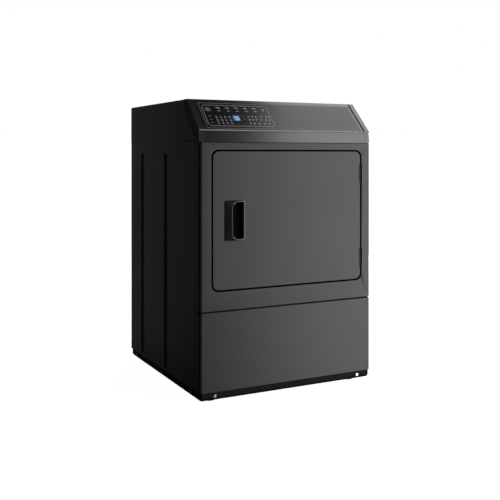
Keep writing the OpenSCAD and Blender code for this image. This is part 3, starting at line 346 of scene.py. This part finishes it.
FINISHES = {
    "front_black": cabinet_front(),
    # Sides and top: the front's black enamel painted darker, as painted shade
    "side_black_shaded": enamel("side_black_shaded", 0.008, 0.44),
    "base_black": enamel("base_black", 0.006, 0.6, gloss=1.2),
    # Painted highlight for the heads of the side recesses
    "fold_painted_highlight": enamel("fold_painted_highlight", 0.05, 0.4),
    "knockout_painted_shade": enamel("knockout_painted_shade", 0.003, 0.5, gloss=1.2),
    "powder_grey": enamel("powder_grey", 0.5, 0.34, 1.6),
    "heater_screen": perforated("heater_screen", 0.5, (0, 2), 9 * MM, 2.2 * MM),
    "drum_coat": drum_enamel(),
    "door_white": enamel("door_white", 0.5, 0.3),
    "hood_plastic": moulded("hood_plastic", 0.01, 0.2, grain=0.3, gloss=1.5),
    "cap_plastic": cap_moulding(),
    "cap_edge_highlight": moulded("cap_edge_highlight", 0.035, 0.3, gloss=1.5),
    "hood_rim_highlight": moulded("hood_rim_highlight", 0.05, 0.3, gloss=1.5),
    # Painted highlight on the lower front of the hood's nose
    "nose_highlight_paint": moulded("nose_highlight_paint", 0.22, 0.32, gloss=1.5),
    "panel_film": moulded("panel_film", 0.008, 0.2, grain=0.08, gloss=1.3),
    "key_film": moulded("key_film", 0.008, 0.2, grain=0.08, gloss=1.3),
    "start_film": moulded("start_film", 0.002, 0.4, grain=0.4, gloss=1.2),
    "pull_edge_highlight": moulded("pull_edge_highlight", 0.1, 0.34, gloss=1.5),
    "pull_plastic": pull_moulding(),
    "black_plastic": moulded("black_plastic", 0.02, 0.5),
    "gasket_black": moulded("gasket_black", 0.002, 0.9),
    "grey_plastic": moulded("grey_plastic", 0.32, 0.5),
    "pale_plastic": moulded("pale_plastic", 0.55, 0.45),
    "filter_screen": screen_mesh(),
    "bone_plastic": moulded("bone_plastic", 0.6, 0.4, (1.0, 0.96, 0.84)),
    "board_green": moulded("board_green", 0.09, 0.45, (0.35, 1.0, 0.5)),
    "display_glass": lit_glass(),
    "zinc_sheet": zinc("zinc_sheet", 0.55, 0.42),
    "zinc_pipe": zinc("zinc_pipe", 0.6, 0.36),
    "hinge_steel": hinge_steel(),
    "bright_steel": turned_steel("bright_steel", 0.7, 0.28, (1.0, 1.0, 0.05)),
    "screw_steel": turned_steel("screw_steel", 0.6, 0.3),
    "dull_steel": turned_steel("dull_steel", 0.45, 0.42),
    "cast_alloy": turned_steel("cast_alloy", 0.4, 0.52),
    "heat_steel": turned_steel("heat_steel", 0.16, 0.5),
    "seal_felt": felt("seal_felt", 0.3),
    "seal_rubber": rubber("seal_rubber", 0.03),
    "belt_rubber": rubber("belt_rubber", 0.012, 0.6),
    "foot_rubber": rubber("foot_rubber", 0.02),
    "line_ink": ink("line_ink", grey(0.32)),
    "panel_edge_highlight_ink": ink("panel_edge_highlight_ink", grey(0.26)),
    "label_ink": ink("label_ink", grey(0.62)),
    "warm_ink": ink("warm_ink", (0.7, 0.4, 0.36, 1.0)),
    "start_ink": ink("start_ink", (0.06, 0.26, 0.17, 1.0), 0.25),
    "digit_light": ink("digit_light", (0.55, 0.8, 1.0, 1.0), 1.0),
    "seam_shadow": moulded("seam_shadow", 0.001, 1.0),
}

NODE_FINISH = {
    "front_black": ["front_panel", "lower_access_panel", "door_outer_panel"],
    "side_black_shaded": ["left_side_panel", "right_side_panel", "cabinet_top"],
    "base_black": ["base_pan"],
    "powder_grey": ["front_bulkhead"],
    "heater_screen": ["rear_bulkhead"],
    "drum_coat": ["drum"],
    "door_white": ["door_inner_panel"],
    "hood_plastic": ["control_hood"],
    "cap_plastic": ["hood_end_caps"],
    "panel_film": ["control_panel"],
    "start_film": ["start_key"],
    "key_film": ["power_key", "time_up_key", "time_down_key"]
    + ["cycle_key_%d" % i for i in range(1, 6)] + ["option_key_%d" % i for i in range(1, 4)],
    "pull_plastic": ["door_handle"],
    "black_plastic": ["door_catch", "door_switch", "terminal_block"],
    "grey_plastic": ["filter_duct", "blower_housing"],
    "pale_plastic": ["drum_baffles", "blower_wheel", "idler_wheel", "switch_plunger"],
    "filter_screen": ["lint_filter"],
    "bone_plastic": ["drum_glides"],
    "board_green": ["control_board"],
    "display_glass": ["display_window"],
    "zinc_sheet": ["rear_panel", "heater_box"],
    "zinc_pipe": [node for node in frame["nodes"] if node.startswith("exhaust")],
    "hinge_steel": ["door_hinge_leaves", "frame_hinge_leaves"],
    "bright_steel": ["hinge_pins", "door_strike"],
    "screw_steel": ["cabinet_screws"],
    "dull_steel": ["idler_lever", "idler_spring", "roller_shafts", "motor_shaft"],
    "cast_alloy": ["drive_motor"],
    "heat_steel": ["heating_element"],
    "seal_felt": ["drum_felt_seals"],
    "seal_rubber": ["door_seal", "left_roller", "right_roller"],
    "belt_rubber": ["drum_belt"],
    "foot_rubber": ["leveling_legs"],
}
finish_of = {node: finish for finish, nodes in NODE_FINISH.items() for node in nodes}
body_of = {node: body for body, nodes in frame["record"]["behaviour"]["bodies"].items() for node in nodes}

for node, thing in frame["nodes"].items():
    thing.data.materials.clear()
    thing.data.materials.append(FINISHES[finish_of[node]])


# ---------- Making pieces ----------

def settle(shape, name, finish, body, smooth=35.0):
    """Closes a bmesh into a piece that rides on a body."""
    mesh = bpy.data.meshes.new(name)
    shape.to_mesh(mesh)
    shape.free()
    for face in mesh.polygons:
        face.use_smooth = True
    mesh.set_sharp_from_angle(angle=math.radians(smooth))
    mesh.materials.append(FINISHES[finish])
    piece = bpy.data.objects.new(name, mesh)
    bpy.context.scene.collection.objects.link(piece)
    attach(piece, body)
    return piece


def round_edges(piece, width, segments=2, angle=25.0):
    rounding = piece.modifiers.new("rounding", "BEVEL")
    rounding.width = width
    rounding.segments = segments
    rounding.limit_method = "ANGLE"
    rounding.angle_limit = math.radians(angle)
    rounding.harden_normals = True
    return piece


def eased(node, width, segments=2, edge=None, angle=25.0):
    """The node's own shape with its edges rounded, and a lighter finish on the rounded edges as a painted
    highlight where one is named.
    """
    shape = bmesh.new()
    shape.from_mesh(frame["nodes"][node].data)
    bmesh.ops.remove_doubles(shape, verts=shape.verts, dist=0.00001)
    bmesh.ops.dissolve_limit(shape, angle_limit=math.radians(0.8), verts=shape.verts, edges=shape.edges)
    if node == "door_outer_panel":
        bmesh.ops.connect_verts_concave(shape, faces=shape.faces)
    piece = settle(shape, node + "_eased", finish_of[node], body_of[node], angle)
    rounding = round_edges(piece, width, segments, angle).modifiers["rounding"]
    # The named edge finish is a painted highlight on the rounded edges
    if edge:
        piece.data.materials.append(FINISHES[edge])
        rounding.material = 1
    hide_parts(node)
    return piece


def add(shape, part, place):
    """Puts a finished small shape into a bigger one."""
    bmesh.ops.transform(part, matrix=place, verts=part.verts)
    bmesh.ops.recalc_face_normals(part, faces=part.faces)
    scratch = bpy.data.meshes.new("scratch")
    part.to_mesh(scratch)
    part.free()
    shape.from_mesh(scratch)
    bpy.data.meshes.remove(scratch)


def grow(part, faces, vec):
    """Extrudes faces by a vector and returns the moved points."""
    grown = bmesh.ops.extrude_face_region(part, geom=faces)["geom"]
    moved = [v for v in grown if isinstance(v, bmesh.types.BMVert)]
    bmesh.ops.translate(part, vec=vec, verts=moved)
    return moved


def plate(width, height, corner):
    """Flat rounded rectangle about the origin."""
    part = bmesh.new()
    bmesh.ops.create_grid(part, x_segments=1, y_segments=1, size=0.5)
    bmesh.ops.scale(part, vec=(width, height, 1.0), verts=part.verts)
    if corner:
        bmesh.ops.bevel(part, geom=list(part.verts), offset=corner, segments=5, profile=0.5,
                        affect="VERTICES", material=-1)
    return part


def tile(shape, width, height, corner, thick, place, hollow=0.0):
    """Adds a rounded plate to a shape, or a rounded frame when a rim width is given."""
    part = plate(width, height, corner)
    if hollow:
        middle = list(part.faces)
        bmesh.ops.inset_region(part, faces=middle, thickness=hollow, use_boundary=True)
        bmesh.ops.delete(part, geom=middle, context="FACES_ONLY")
    grow(part, list(part.faces), (0.0, 0.0, thick))
    add(shape, part, place)


def on_slope(x, y, lift=0.0, turn=0.0):
    place = Matrix.Translation((x * MM, y * MM, lift * MM)) @ Matrix.Rotation(math.radians(turn), 4, "Z")
    return SLOPE @ place


def printed(name, finish, body, marks, lift=0.02, thick=0.15):
    """Marks given as [x, y, width, height, corner, hollow, turn] on the slanted face."""
    shape = bmesh.new()
    for x, y, width, height, corner, hollow, turn in marks:
        tile(shape, width * MM, height * MM, corner * MM, thick * MM, on_slope(x, y, lift, turn), hollow * MM)
    return settle(shape, name, finish, body)


# ---------- Rounded copies of the sheet and moulded parts ----------

# Lighter edge finishes on the hood and end caps are painted highlights
for node, width, segments, edge in [
        ("front_panel", 0.5, 2, None), ("door_outer_panel", 0.6, 2, None),
        ("lower_access_panel", 0.5, 2, None),
        ("control_hood", 0.8, 3, "hood_rim_highlight"), ("hood_end_caps", 1.0, 3, "cap_edge_highlight"),
        ("control_panel", 0.4, 2, None), ("cabinet_screws", 0.25, 2, None), ("cabinet_top", 0.3, 2, None)]:
    eased(node, width * MM, segments, edge)


# ---------- Control face ----------

# Painted highlight: a light line round the inset panel's edge
printed("panel_edge_highlight", "panel_edge_highlight_ink", "cabinet", [[0, 72.5, 614, 127, 4, 1.6, 0]])
for side, name in ((-1, "left"), (1, "right")):
    printed(name + "_cap_seam", "seam_shadow", "cabinet", [[side * 319.5, 76, 5 + 2 * side, 146, 0.5, 0, 0]])
printed("key_field_line", "line_ink", "cabinet", [[-171.5, 73, 255, 106, 15, 2.2, 0]])

cycle_columns = [-238, -203, -168, -133, -98]
for number, x in enumerate(cycle_columns, 1):
    body = "cycle_key_%d_body" % number
    marks = [[x - 2, 113, 13, 2.4, 1, 0, 0], [x + 2, 108.5, 8, 1.6, 0.7, 0, 0], [x, 96, 11, 2.2, 1, 0, 0]]
    printed("cycle_key_%d_marks" % number, "warm_ink" if number == 3 else "label_ink", body, marks, 0.42)
for number, y in enumerate([69, 53, 37], 1):
    printed("option_key_%d_marks" % number, "line_ink", "option_key_%d_body" % number,
            [[-281, y, 11, 1.8, 0.8, 0, 0]], 0.42)
printed("time_up_mark", "line_ink", "time_up_key_body",
        [[-155, 70, 5, 1.6, 0.7, 0, 0], [-155, 70, 1.6, 5, 0.7, 0, 0]], 0.42)
printed("time_down_mark", "line_ink", "time_down_key_body", [[-155, 54, 5, 1.6, 0.7, 0, 0]], 0.42)
printed("power_mark", "label_ink", "power_key_body",
        [[-65, 105, 10, 10, 4.9, 1.4, 0], [-65, 110.5, 1.6, 6, 0.7, 0, 0]], 0.42)
printed("start_mark", "start_ink", "start_key_body",
        [[-280, 103, 19, 19, 9.4, 2.2, 0], [-280, 103, 7, 7, 0.8, 0, 45]], 0.42)

lamp_columns = [-259, -242, -226, -209]
labels = []
for y in (68, 52, 37):
    for x in lamp_columns:
        labels.append([x, y, 4.2, 3.2, 1.5, 0, 0])
        labels.append([x + 1, y - 5.5, 8, 1.3, 0.6, 0, 0])
for y, columns in ((72, [-134, -119, -105, -85, -65, -53]), (55.5, [-134, -121, -108, -90, -71, -56]),
                   (37, [-137, -122, -103, -80, -63])):
    for x in columns:
        labels.append([x, y, 7.5, 2.2, 1, 0, 0])
        labels.append([x - 1, y - 4.2, 5, 1.3, 0.6, 0, 0])
printed("panel_labels", "label_ink", "cabinet", labels)


def digit_bars(x, y, shown):
    """One seven-bar digit, 7 wide and 12 high, about a point of the display."""
    bars = {"top": [0, 5.5, 5, 1.2], "middle": [0, 0, 5, 1.2], "bottom": [0, -5.5, 5, 1.2],
            "high_left": [-3, 2.8, 1.2, 4.4], "high_right": [3, 2.8, 1.2, 4.4],
            "low_left": [-3, -2.8, 1.2, 4.4], "low_right": [3, -2.8, 1.2, 4.4]}
    return [[x + bars[b][0], y + bars[b][1], bars[b][2], bars[b][3], 0.5, 0, 0] for b in shown]


four = ["high_left", "high_right", "middle", "low_right"]
five = ["top", "high_left", "middle", "low_right", "bottom"]
printed("display_digits", "digit_light", "cabinet",
        digit_bars(-188, 64, four) + digit_bars(-177, 64, five)
        + [[-183, 52.5, 18, 1.4, 0.6, 0, 0]], -0.15)


# ---------- Painted highlight on the nose, painted shadow in the seams ---

def nose_highlight():
    """Painted highlight: a light strip over the lower front of the hood's rounded nose, along the foot of the
    slanted face.
    """
    length = 2 * (HALF - 1.5 * MM)
    nose_y = FRONT + 9.5 * MM
    nose_z = TOP - 109 * MM + 6.5 * MM - 4 * MM * math.sqrt(2)
    shape = bmesh.new()
    bmesh.ops.create_circle(shape, cap_ends=False, segments=48, radius=4.1 * MM)
    low, high = math.radians(152), math.radians(248)
    spare = [v for v in shape.verts if not low < math.atan2(v.co.y, v.co.x) % math.tau < high]
    bmesh.ops.delete(shape, geom=spare, context="VERTS")
    turn = Matrix.Rotation(math.radians(90), 4, "Z") @ Matrix.Rotation(math.radians(90), 4, "X")
    place = Matrix.Translation((-length / 2, nose_y, nose_z)) @ turn
    bmesh.ops.transform(shape, matrix=place, verts=shape.verts)
    grown = bmesh.ops.extrude_edge_only(shape, edges=list(shape.edges))["geom"]
    ends = [v for v in grown if isinstance(v, bmesh.types.BMVert)]
    bmesh.ops.translate(shape, vec=(length, 0.0, 0.0), verts=ends)
    bmesh.ops.recalc_face_normals(shape, faces=shape.faces)
    bmesh.ops.solidify(shape, geom=list(shape.faces), thickness=0.3 * MM)
    return settle(shape, "hood_nose_highlight", "nose_highlight_paint", "cabinet", 60.0)


nose_highlight()


def seam_strip(name, low, high, inset, reach):
    """Black strip set back in a seam, round the front and both side returns: painted shadow in the seam."""
    shape = bmesh.new()
    bmesh.ops.create_grid(shape, x_segments=1, y_segments=1, size=0.5)
    bmesh.ops.scale(shape, vec=(2 * (HALF - inset), reach, 1.0), verts=shape.verts)
    bmesh.ops.translate(shape, vec=(0.0, FRONT + inset + reach / 2, low), verts=shape.verts)
    fronts = [v for v in shape.verts if v.co.y < FRONT + inset + reach / 4]
    bmesh.ops.bevel(shape, geom=fronts, offset=8 * MM, segments=6, profile=0.5,
                    affect="VERTICES", material=-1)
    grown = bmesh.ops.extrude_face_region(shape, geom=list(shape.faces))["geom"]
    tops = [v for v in grown if isinstance(v, bmesh.types.BMVert)]
    bmesh.ops.translate(shape, vec=(0.0, 0.0, high - low), verts=tops)
    bmesh.ops.recalc_face_normals(shape, faces=shape.faces)
    return settle(shape, name, "seam_shadow", "cabinet")


# Painted shadow: black strips fill the seams under the hood and above the lower panel
seam_strip("hood_seam_shadow_strip", HOOD_SEAM + 0.1 * MM, HOOD_SEAM + 1.9 * MM, 2.2 * MM, 30 * MM)
seam_strip("lower_seam_shadow_strip", SEAM_LOW + 0.1 * MM, SEAM_HIGH - 0.1 * MM, 3.2 * MM, 30 * MM)


# ---------- Door pull ----------

def pull():
    """Grip plate that rises from the door to a rounded lip over the finger pocket."""
    low, high = (Vector(corner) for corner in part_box("door_handle"))
    face = low.y + 16 * MM
    width, height = 77 * MM, high.z - low.z
    centre = Vector((low.x + width / 2, 0.0, (low.z + high.z) / 2))
    if high.x - low.x < width:
        centre.x = (low.x + high.x) / 2
    corner_steps = 9
    right, lip = 34 * MM, -15 * MM
    shape = bmesh.new()

    def rise(x):
        """How far the grip stands out of the door at a point across it."""
        along = min(max((right - x) / (right - lip), 0.0), 1.0)
        return -(1.4 + 14.2 * along * along * (3 - 2 * along)) * MM

    def outline(start, end, tall, start_r, end_r, stand):
        """Ring in the shape with rounded corners, each point moved out to its place."""
        known = set(shape.edges)
        points = bmesh.ops.create_grid(shape, x_segments=1, y_segments=1, size=0.5)["verts"]
        bmesh.ops.scale(shape, vec=(end - start, tall, 1.0), verts=points)
        bmesh.ops.translate(shape, vec=((start + end) / 2, 0.0, 0.0), verts=points)
        far_side = [v for v in points if v.co.x > (start + end) / 2]
        near_side = [v for v in points if v.co.x < (start + end) / 2]
        for corners, radius in ((far_side, end_r), (near_side, start_r)):
            bmesh.ops.bevel(shape, geom=corners, offset=radius, segments=corner_steps, profile=0.5,
                            affect="VERTICES", material=-1)
        bmesh.ops.delete(shape, geom=list(shape.faces), context="FACES_ONLY")
        ring = [e for e in shape.edges if e not in known]
        for point in {v for e in ring for v in e.verts}:
            x, z = point.co.x, point.co.y
            point.co = (centre.x + x, face + stand(x), centre.z + z)
        return ring

    edge = width / 2
    loops = [
        outline(-edge, edge, height, 3 * MM, 3 * MM, lambda x: 0.6 * MM),
        outline(-edge, edge, height, 3 * MM, 3 * MM, lambda x: -1.2 * MM),
        outline(lip - 2.4 * MM, right + 2.4 * MM, height - 4.6 * MM, 26 * MM, 5 * MM, rise),
        outline(lip, right, height - 9 * MM, 24 * MM, 4 * MM, rise),
        outline(lip + 1 * MM, right - 0.5 * MM, height - 10 * MM, 23.5 * MM, 3.5 * MM,
                lambda x: rise(x) + 2.4 * MM),
        outline(-30 * MM, right - 1 * MM, height - 12 * MM, 10 * MM, 3 * MM, lambda x: 13.5 * MM),
    ]
    # Painted highlight: the lip's rim and all rounded edges of the pull take the lighter edge finish
    for step, (near, far) in enumerate(zip(loops, loops[1:])):
        wall = bmesh.ops.bridge_loops(shape, edges=near + far)["faces"]
        for face in wall:
            face.material_index = 1 if step == 2 else 0
    bmesh.ops.edgeloop_fill(shape, edges=loops[-1])
    bmesh.ops.recalc_face_normals(shape, faces=shape.faces)
    piece = settle(shape, "door_pull", "pull_plastic", "door", 50.0)
    piece.data.materials.append(FINISHES["pull_edge_highlight"])
    rounding = round_edges(piece, 1.1 * MM, 3, 40.0).modifiers["rounding"]
    rounding.material = 1
    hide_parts("door_handle")


pull()


# ---------- Side panels ----------

# The two recesses in each side, as depths behind the front in mm
RECESSES = ((162, 326), (414, 578))


def pressed_side(node, side):
    """Side sheet with two pressed recesses, soft folds and turned-in edges."""
    low, high = (Vector(corner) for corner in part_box(node))
    shape = bmesh.new()
    bmesh.ops.create_grid(shape, x_segments=1, y_segments=1, size=0.5)
    bmesh.ops.rotate(shape, matrix=Matrix.Rotation(math.radians(90), 3, "Y"), verts=shape.verts)
    bmesh.ops.scale(shape, vec=(1.0, high.y - low.y, high.z - low.z), verts=shape.verts)
    middle = (low + high) / 2
    bmesh.ops.translate(shape, vec=(side * HALF, middle.y, middle.z), verts=shape.verts)
    spans = RECESSES
    foot, head = low.z + 13 * MM, HOOD_SEAM - 36 * MM
    cuts = [((0.0, FRONT + d * MM, 0.0), (0.0, 1.0, 0.0)) for span in spans for d in span]
    cuts += [((0.0, 0.0, z), (0.0, 0.0, 1.0)) for z in (foot, head)]
    for point, normal in cuts:
        everything = list(shape.verts) + list(shape.edges) + list(shape.faces)
        bmesh.ops.bisect_plane(shape, geom=everything, plane_co=point, plane_no=normal)
    for span in spans:
        line = FRONT + sum(span) / 2 * MM
        pressed = [f for f in shape.faces if abs(f.calc_center_median().y - line) < 1 * MM
                   and foot < f.calc_center_median().z < head]
        bottom = grow(shape, pressed, (-side * 4 * MM, 0.0, 0.0))
        bmesh.ops.delete(shape, geom=[f for f in pressed if f.is_valid], context="FACES_ONLY")
        spot = Vector((0.0, line, (foot + head) / 2))
        draft = Matrix.Diagonal((1.0, 0.986, 0.997, 1.0))
        place = Matrix.Translation(spot) @ draft @ Matrix.Translation(-spot)
        bmesh.ops.transform(shape, matrix=place, verts=bottom)
    rim = [e for e in shape.edges if e.is_boundary]
    grown = bmesh.ops.extrude_edge_only(shape, edges=rim)["geom"]
    folded = [v for v in grown if isinstance(v, bmesh.types.BMVert)]
    bmesh.ops.translate(shape, vec=(-side * 14 * MM, 0.0, 0.0), verts=folded)
    bmesh.ops.recalc_face_normals(shape, faces=shape.faces)
    outward = max(shape.faces, key=lambda f: f.calc_area()).normal.x * side
    if outward < 0:
        bmesh.ops.reverse_faces(shape, faces=shape.faces)
    piece = settle(shape, node + "_sheet", "side_black_shaded", "cabinet", 30.0)
    folds = piece.modifiers.new("folds", "BEVEL")
    folds.width, folds.segments, folds.limit_method = 1.4 * MM, 3, "ANGLE"
    folds.angle_limit = math.radians(25)
    folds.harden_normals = True
    wall = piece.modifiers.new("wall", "SOLIDIFY")
    wall.thickness = 1 * MM
    wall.offset = -1.0
    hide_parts(node)
    # Painted highlight: light strips along the heads of the recesses
    glint = bmesh.new()
    face_out = Matrix.Rotation(math.radians(90 * side), 4, "Y")
    for span in spans:
        spot = Matrix.Translation((side * (HALF - 0.15 * MM), FRONT + sum(span) / 2 * MM, head + 0.4 * MM))
        tile(glint, 1.6 * MM, (span[1] - span[0] - 6) * MM, 0.7 * MM, 0.1 * MM, spot @ face_out)
    settle(glint, node + "_fold_highlights", "fold_painted_highlight", "cabinet")
    # Painted shade: a near-black raised ring stands for the shade in the knockout's groove
    ring = bmesh.new()
    spot = Matrix.Translation((side * (HALF - 4 * MM), FRONT + 493 * MM, 112 * MM))
    tile(ring, 110 * MM, 110 * MM, 54.9 * MM, 0.3 * MM, spot @ face_out, 1.4 * MM)
    settle(ring, node + "_knockout", "knockout_painted_shade", "cabinet")


pressed_side("left_side_panel", -1)
pressed_side("right_side_panel", 1)


# ---------- Back ----------

# Height of the lowest air slot, in mm
LOUVRES = 572


def on_back(x, z, lift=0.0):
    """Frame on the back sheet: x towards its left as seen from behind, y up, z outwards."""
    facing = Matrix.Rotation(math.radians(180), 4, "Z") @ Matrix.Rotation(math.radians(90), 4, "X")
    return Matrix.Translation((x * MM, BACK + lift * MM, z * MM)) @ facing


def louvre_hoods():
    """Pressed awnings over the air slots of the back."""
    shape = bmesh.new()
    for x in (-160, 160):
        for row in range(8):
            hood = bmesh.new()
            bmesh.ops.create_cube(hood, size=1.0)
            bmesh.ops.scale(hood, vec=(124 * MM, 9 * MM, 3.4 * MM), verts=hood.verts)
            brow = [e for e in hood.edges if all(v.co.z > 0 for v in e.verts)
                    and not all(v.co.y < 0 for v in e.verts)]
            below = [f for f in hood.faces if f.normal.y < -0.5 or f.normal.z < -0.5]
            bmesh.ops.delete(hood, geom=below, context="FACES_ONLY")
            brow = [e for e in brow if e.is_valid]
            bmesh.ops.bevel(hood, geom=brow, offset=2.8 * MM, segments=4, profile=0.5,
                            affect="EDGES", material=-1)
            bmesh.ops.recalc_face_normals(hood, faces=hood.faces)
            bmesh.ops.solidify(hood, geom=list(hood.faces), thickness=0.5 * MM)
            add(shape, hood, on_back(x, LOUVRES + row * 14 + 3.2, 1.7))
    settle(shape, "rear_louvre_hoods", "zinc_sheet", "cabinet")


def swages():
    """Rounded stiffening beads pressed into the back."""
    shape = bmesh.new()
    for x, z, width, height in ((0, 600, 14, 420), (-262, 480, 14, 560),
                                (262, 560, 14, 400), (0, 330, 380, 14)):
        tile(shape, width * MM, height * MM, 6.5 * MM, 2.2 * MM, on_back(x, z, 0.0))
    round_edges(settle(shape, "rear_swages", "zinc_sheet", "cabinet"), 1.8 * MM, 4, 40.0)


def terminal_cover():
    """Screwed cover over the supply terminals, and the grommet of the cord's entry."""
    shape = bmesh.new()
    tile(shape, 116 * MM, 84 * MM, 6 * MM, 6 * MM, on_back(235, 185, 0.0))
    tile(shape, 140 * MM, 100 * MM, 4 * MM, 1.0 * MM, on_back(235, 185, 0.0))
    round_edges(settle(shape, "terminal_cover", "zinc_sheet", "cabinet"), 0.8 * MM, 3)
    heads = bmesh.new()
    for x in (172, 298):
        tile(heads, 9 * MM, 9 * MM, 4.4 * MM, 2.2 * MM, on_back(x, 185, 1.0))
    round_edges(settle(heads, "terminal_cover_screws", "screw_steel", "cabinet"), 0.7 * MM, 3)
    ring = bmesh.new()
    tile(ring, 44 * MM, 44 * MM, 21.9 * MM, 4 * MM, on_back(240, 95, 0.0), 7.4 * MM)
    round_edges(settle(ring, "cord_grommet", "black_plastic", "cabinet"), 1.2 * MM, 3)


louvre_hoods()
swages()
terminal_cover()


# ---------- Studio ----------

def soft_box(name, at, target, size, level):
    """Area light of an even brightness."""
    lamp = bpy.data.lights.new(name, "AREA")
    lamp.shape = "RECTANGLE"
    lamp.size, lamp.size_y = size
    lamp.energy = level * math.pi * size[0] * size[1]
    holder = bpy.data.objects.new(name, lamp)
    holder.location = at
    holder.rotation_euler = (Vector(target) - Vector(at)).to_track_quat("-Z", "Y").to_euler()
    holder.visible_camera = False
    bpy.context.scene.collection.objects.link(holder)


def studio():
    scene = bpy.context.scene
    scene.view_settings.view_transform = "Standard"
    world = bpy.data.worlds.new("studio")
    scene.world = world
    world.use_nodes = True
    tree = world.node_tree
    rays = tree.nodes.new("ShaderNodeLightPath")
    seen = tree.nodes.new("ShaderNodeBackground")
    seen.inputs["Color"].default_value = (1.0, 1.0, 1.0, 1.0)
    lit = tree.nodes["Background"]
    lit.inputs["Color"].default_value = (0.015, 0.015, 0.0155, 1.0)
    pick = tree.nodes.new("ShaderNodeMixShader")
    tree.links.new(rays.outputs["Is Camera Ray"], pick.inputs[0])
    tree.links.new(lit.outputs[0], pick.inputs[1])
    tree.links.new(seen.outputs[0], pick.inputs[2])
    tree.links.new(pick.outputs[0], tree.nodes["World Output"].inputs["Surface"])

    ground = bmesh.new()
    bmesh.ops.create_grid(ground, x_segments=1, y_segments=1, size=30.0)
    mesh = bpy.data.meshes.new("floor")
    ground.to_mesh(mesh)
    ground.free()
    pale = Finish("pale_floor", Roughness=0.9, Emission_Strength=1.0)
    away = pale.node("ShaderNodeVectorMath", {"operation": "LENGTH"}, [pale.place], "Value")
    far = pale.ease(away, 0.7, 2.2)
    pale.feed("Emission Color", pale.blend(far, grey(0.985), grey(1.0)))
    pale.feed("Base Color", pale.blend(pale.noise(2.0), grey(0.5), grey(0.52)))
    mesh.materials.append(pale.material)
    floor = bpy.data.objects.new("floor", mesh)
    floor.visible_glossy = False
    floor.visible_diffuse = False
    floor.visible_shadow = False
    scene.collection.objects.link(floor)

    soft_box("front_right", (1.88, -2.45, 0.55), (0.0, -0.3, 0.55), (1.4, 3.6), 5.3)
    soft_box("overhead_right", (1.92, -0.2, 3.0), (0.3, -0.2, 0.9), (1.4, 1.6), 4.0)
    soft_box("high_front", (1.55, -2.2, 3.0), (0.2, -0.3, 0.9), (2.2, 0.5), 2.0)
    soft_box("left_rear", (-0.95, 2.6, 0.7), (-0.3, 0.0, 0.5), (0.8, 2.8), 0.19)
    soft_box("left_front", (-2.0, -2.2, 0.7), (-0.3, 0.0, 0.5), (1.2, 2.8), 0.12)
    soft_box("rear_right", (1.9, 2.8, 1.0), (0.0, 0.3, 0.5), (1.4, 3.0), 3.0)


def camera():
    lens = bpy.data.cameras.new("camera")
    lens.lens = 56.85
    lens.sensor_width = 36.0
    lens.shift_y = -0.1926
    holder = bpy.data.objects.new("camera", lens)
    holder.location = (-1.3767, -2.7597, 0.8349)
    holder.rotation_euler = (math.radians(90.0), 0.0, math.radians(-27.02))
    bpy.context.scene.collection.objects.link(holder)
    bpy.context.scene.camera = holder


studio()
camera()
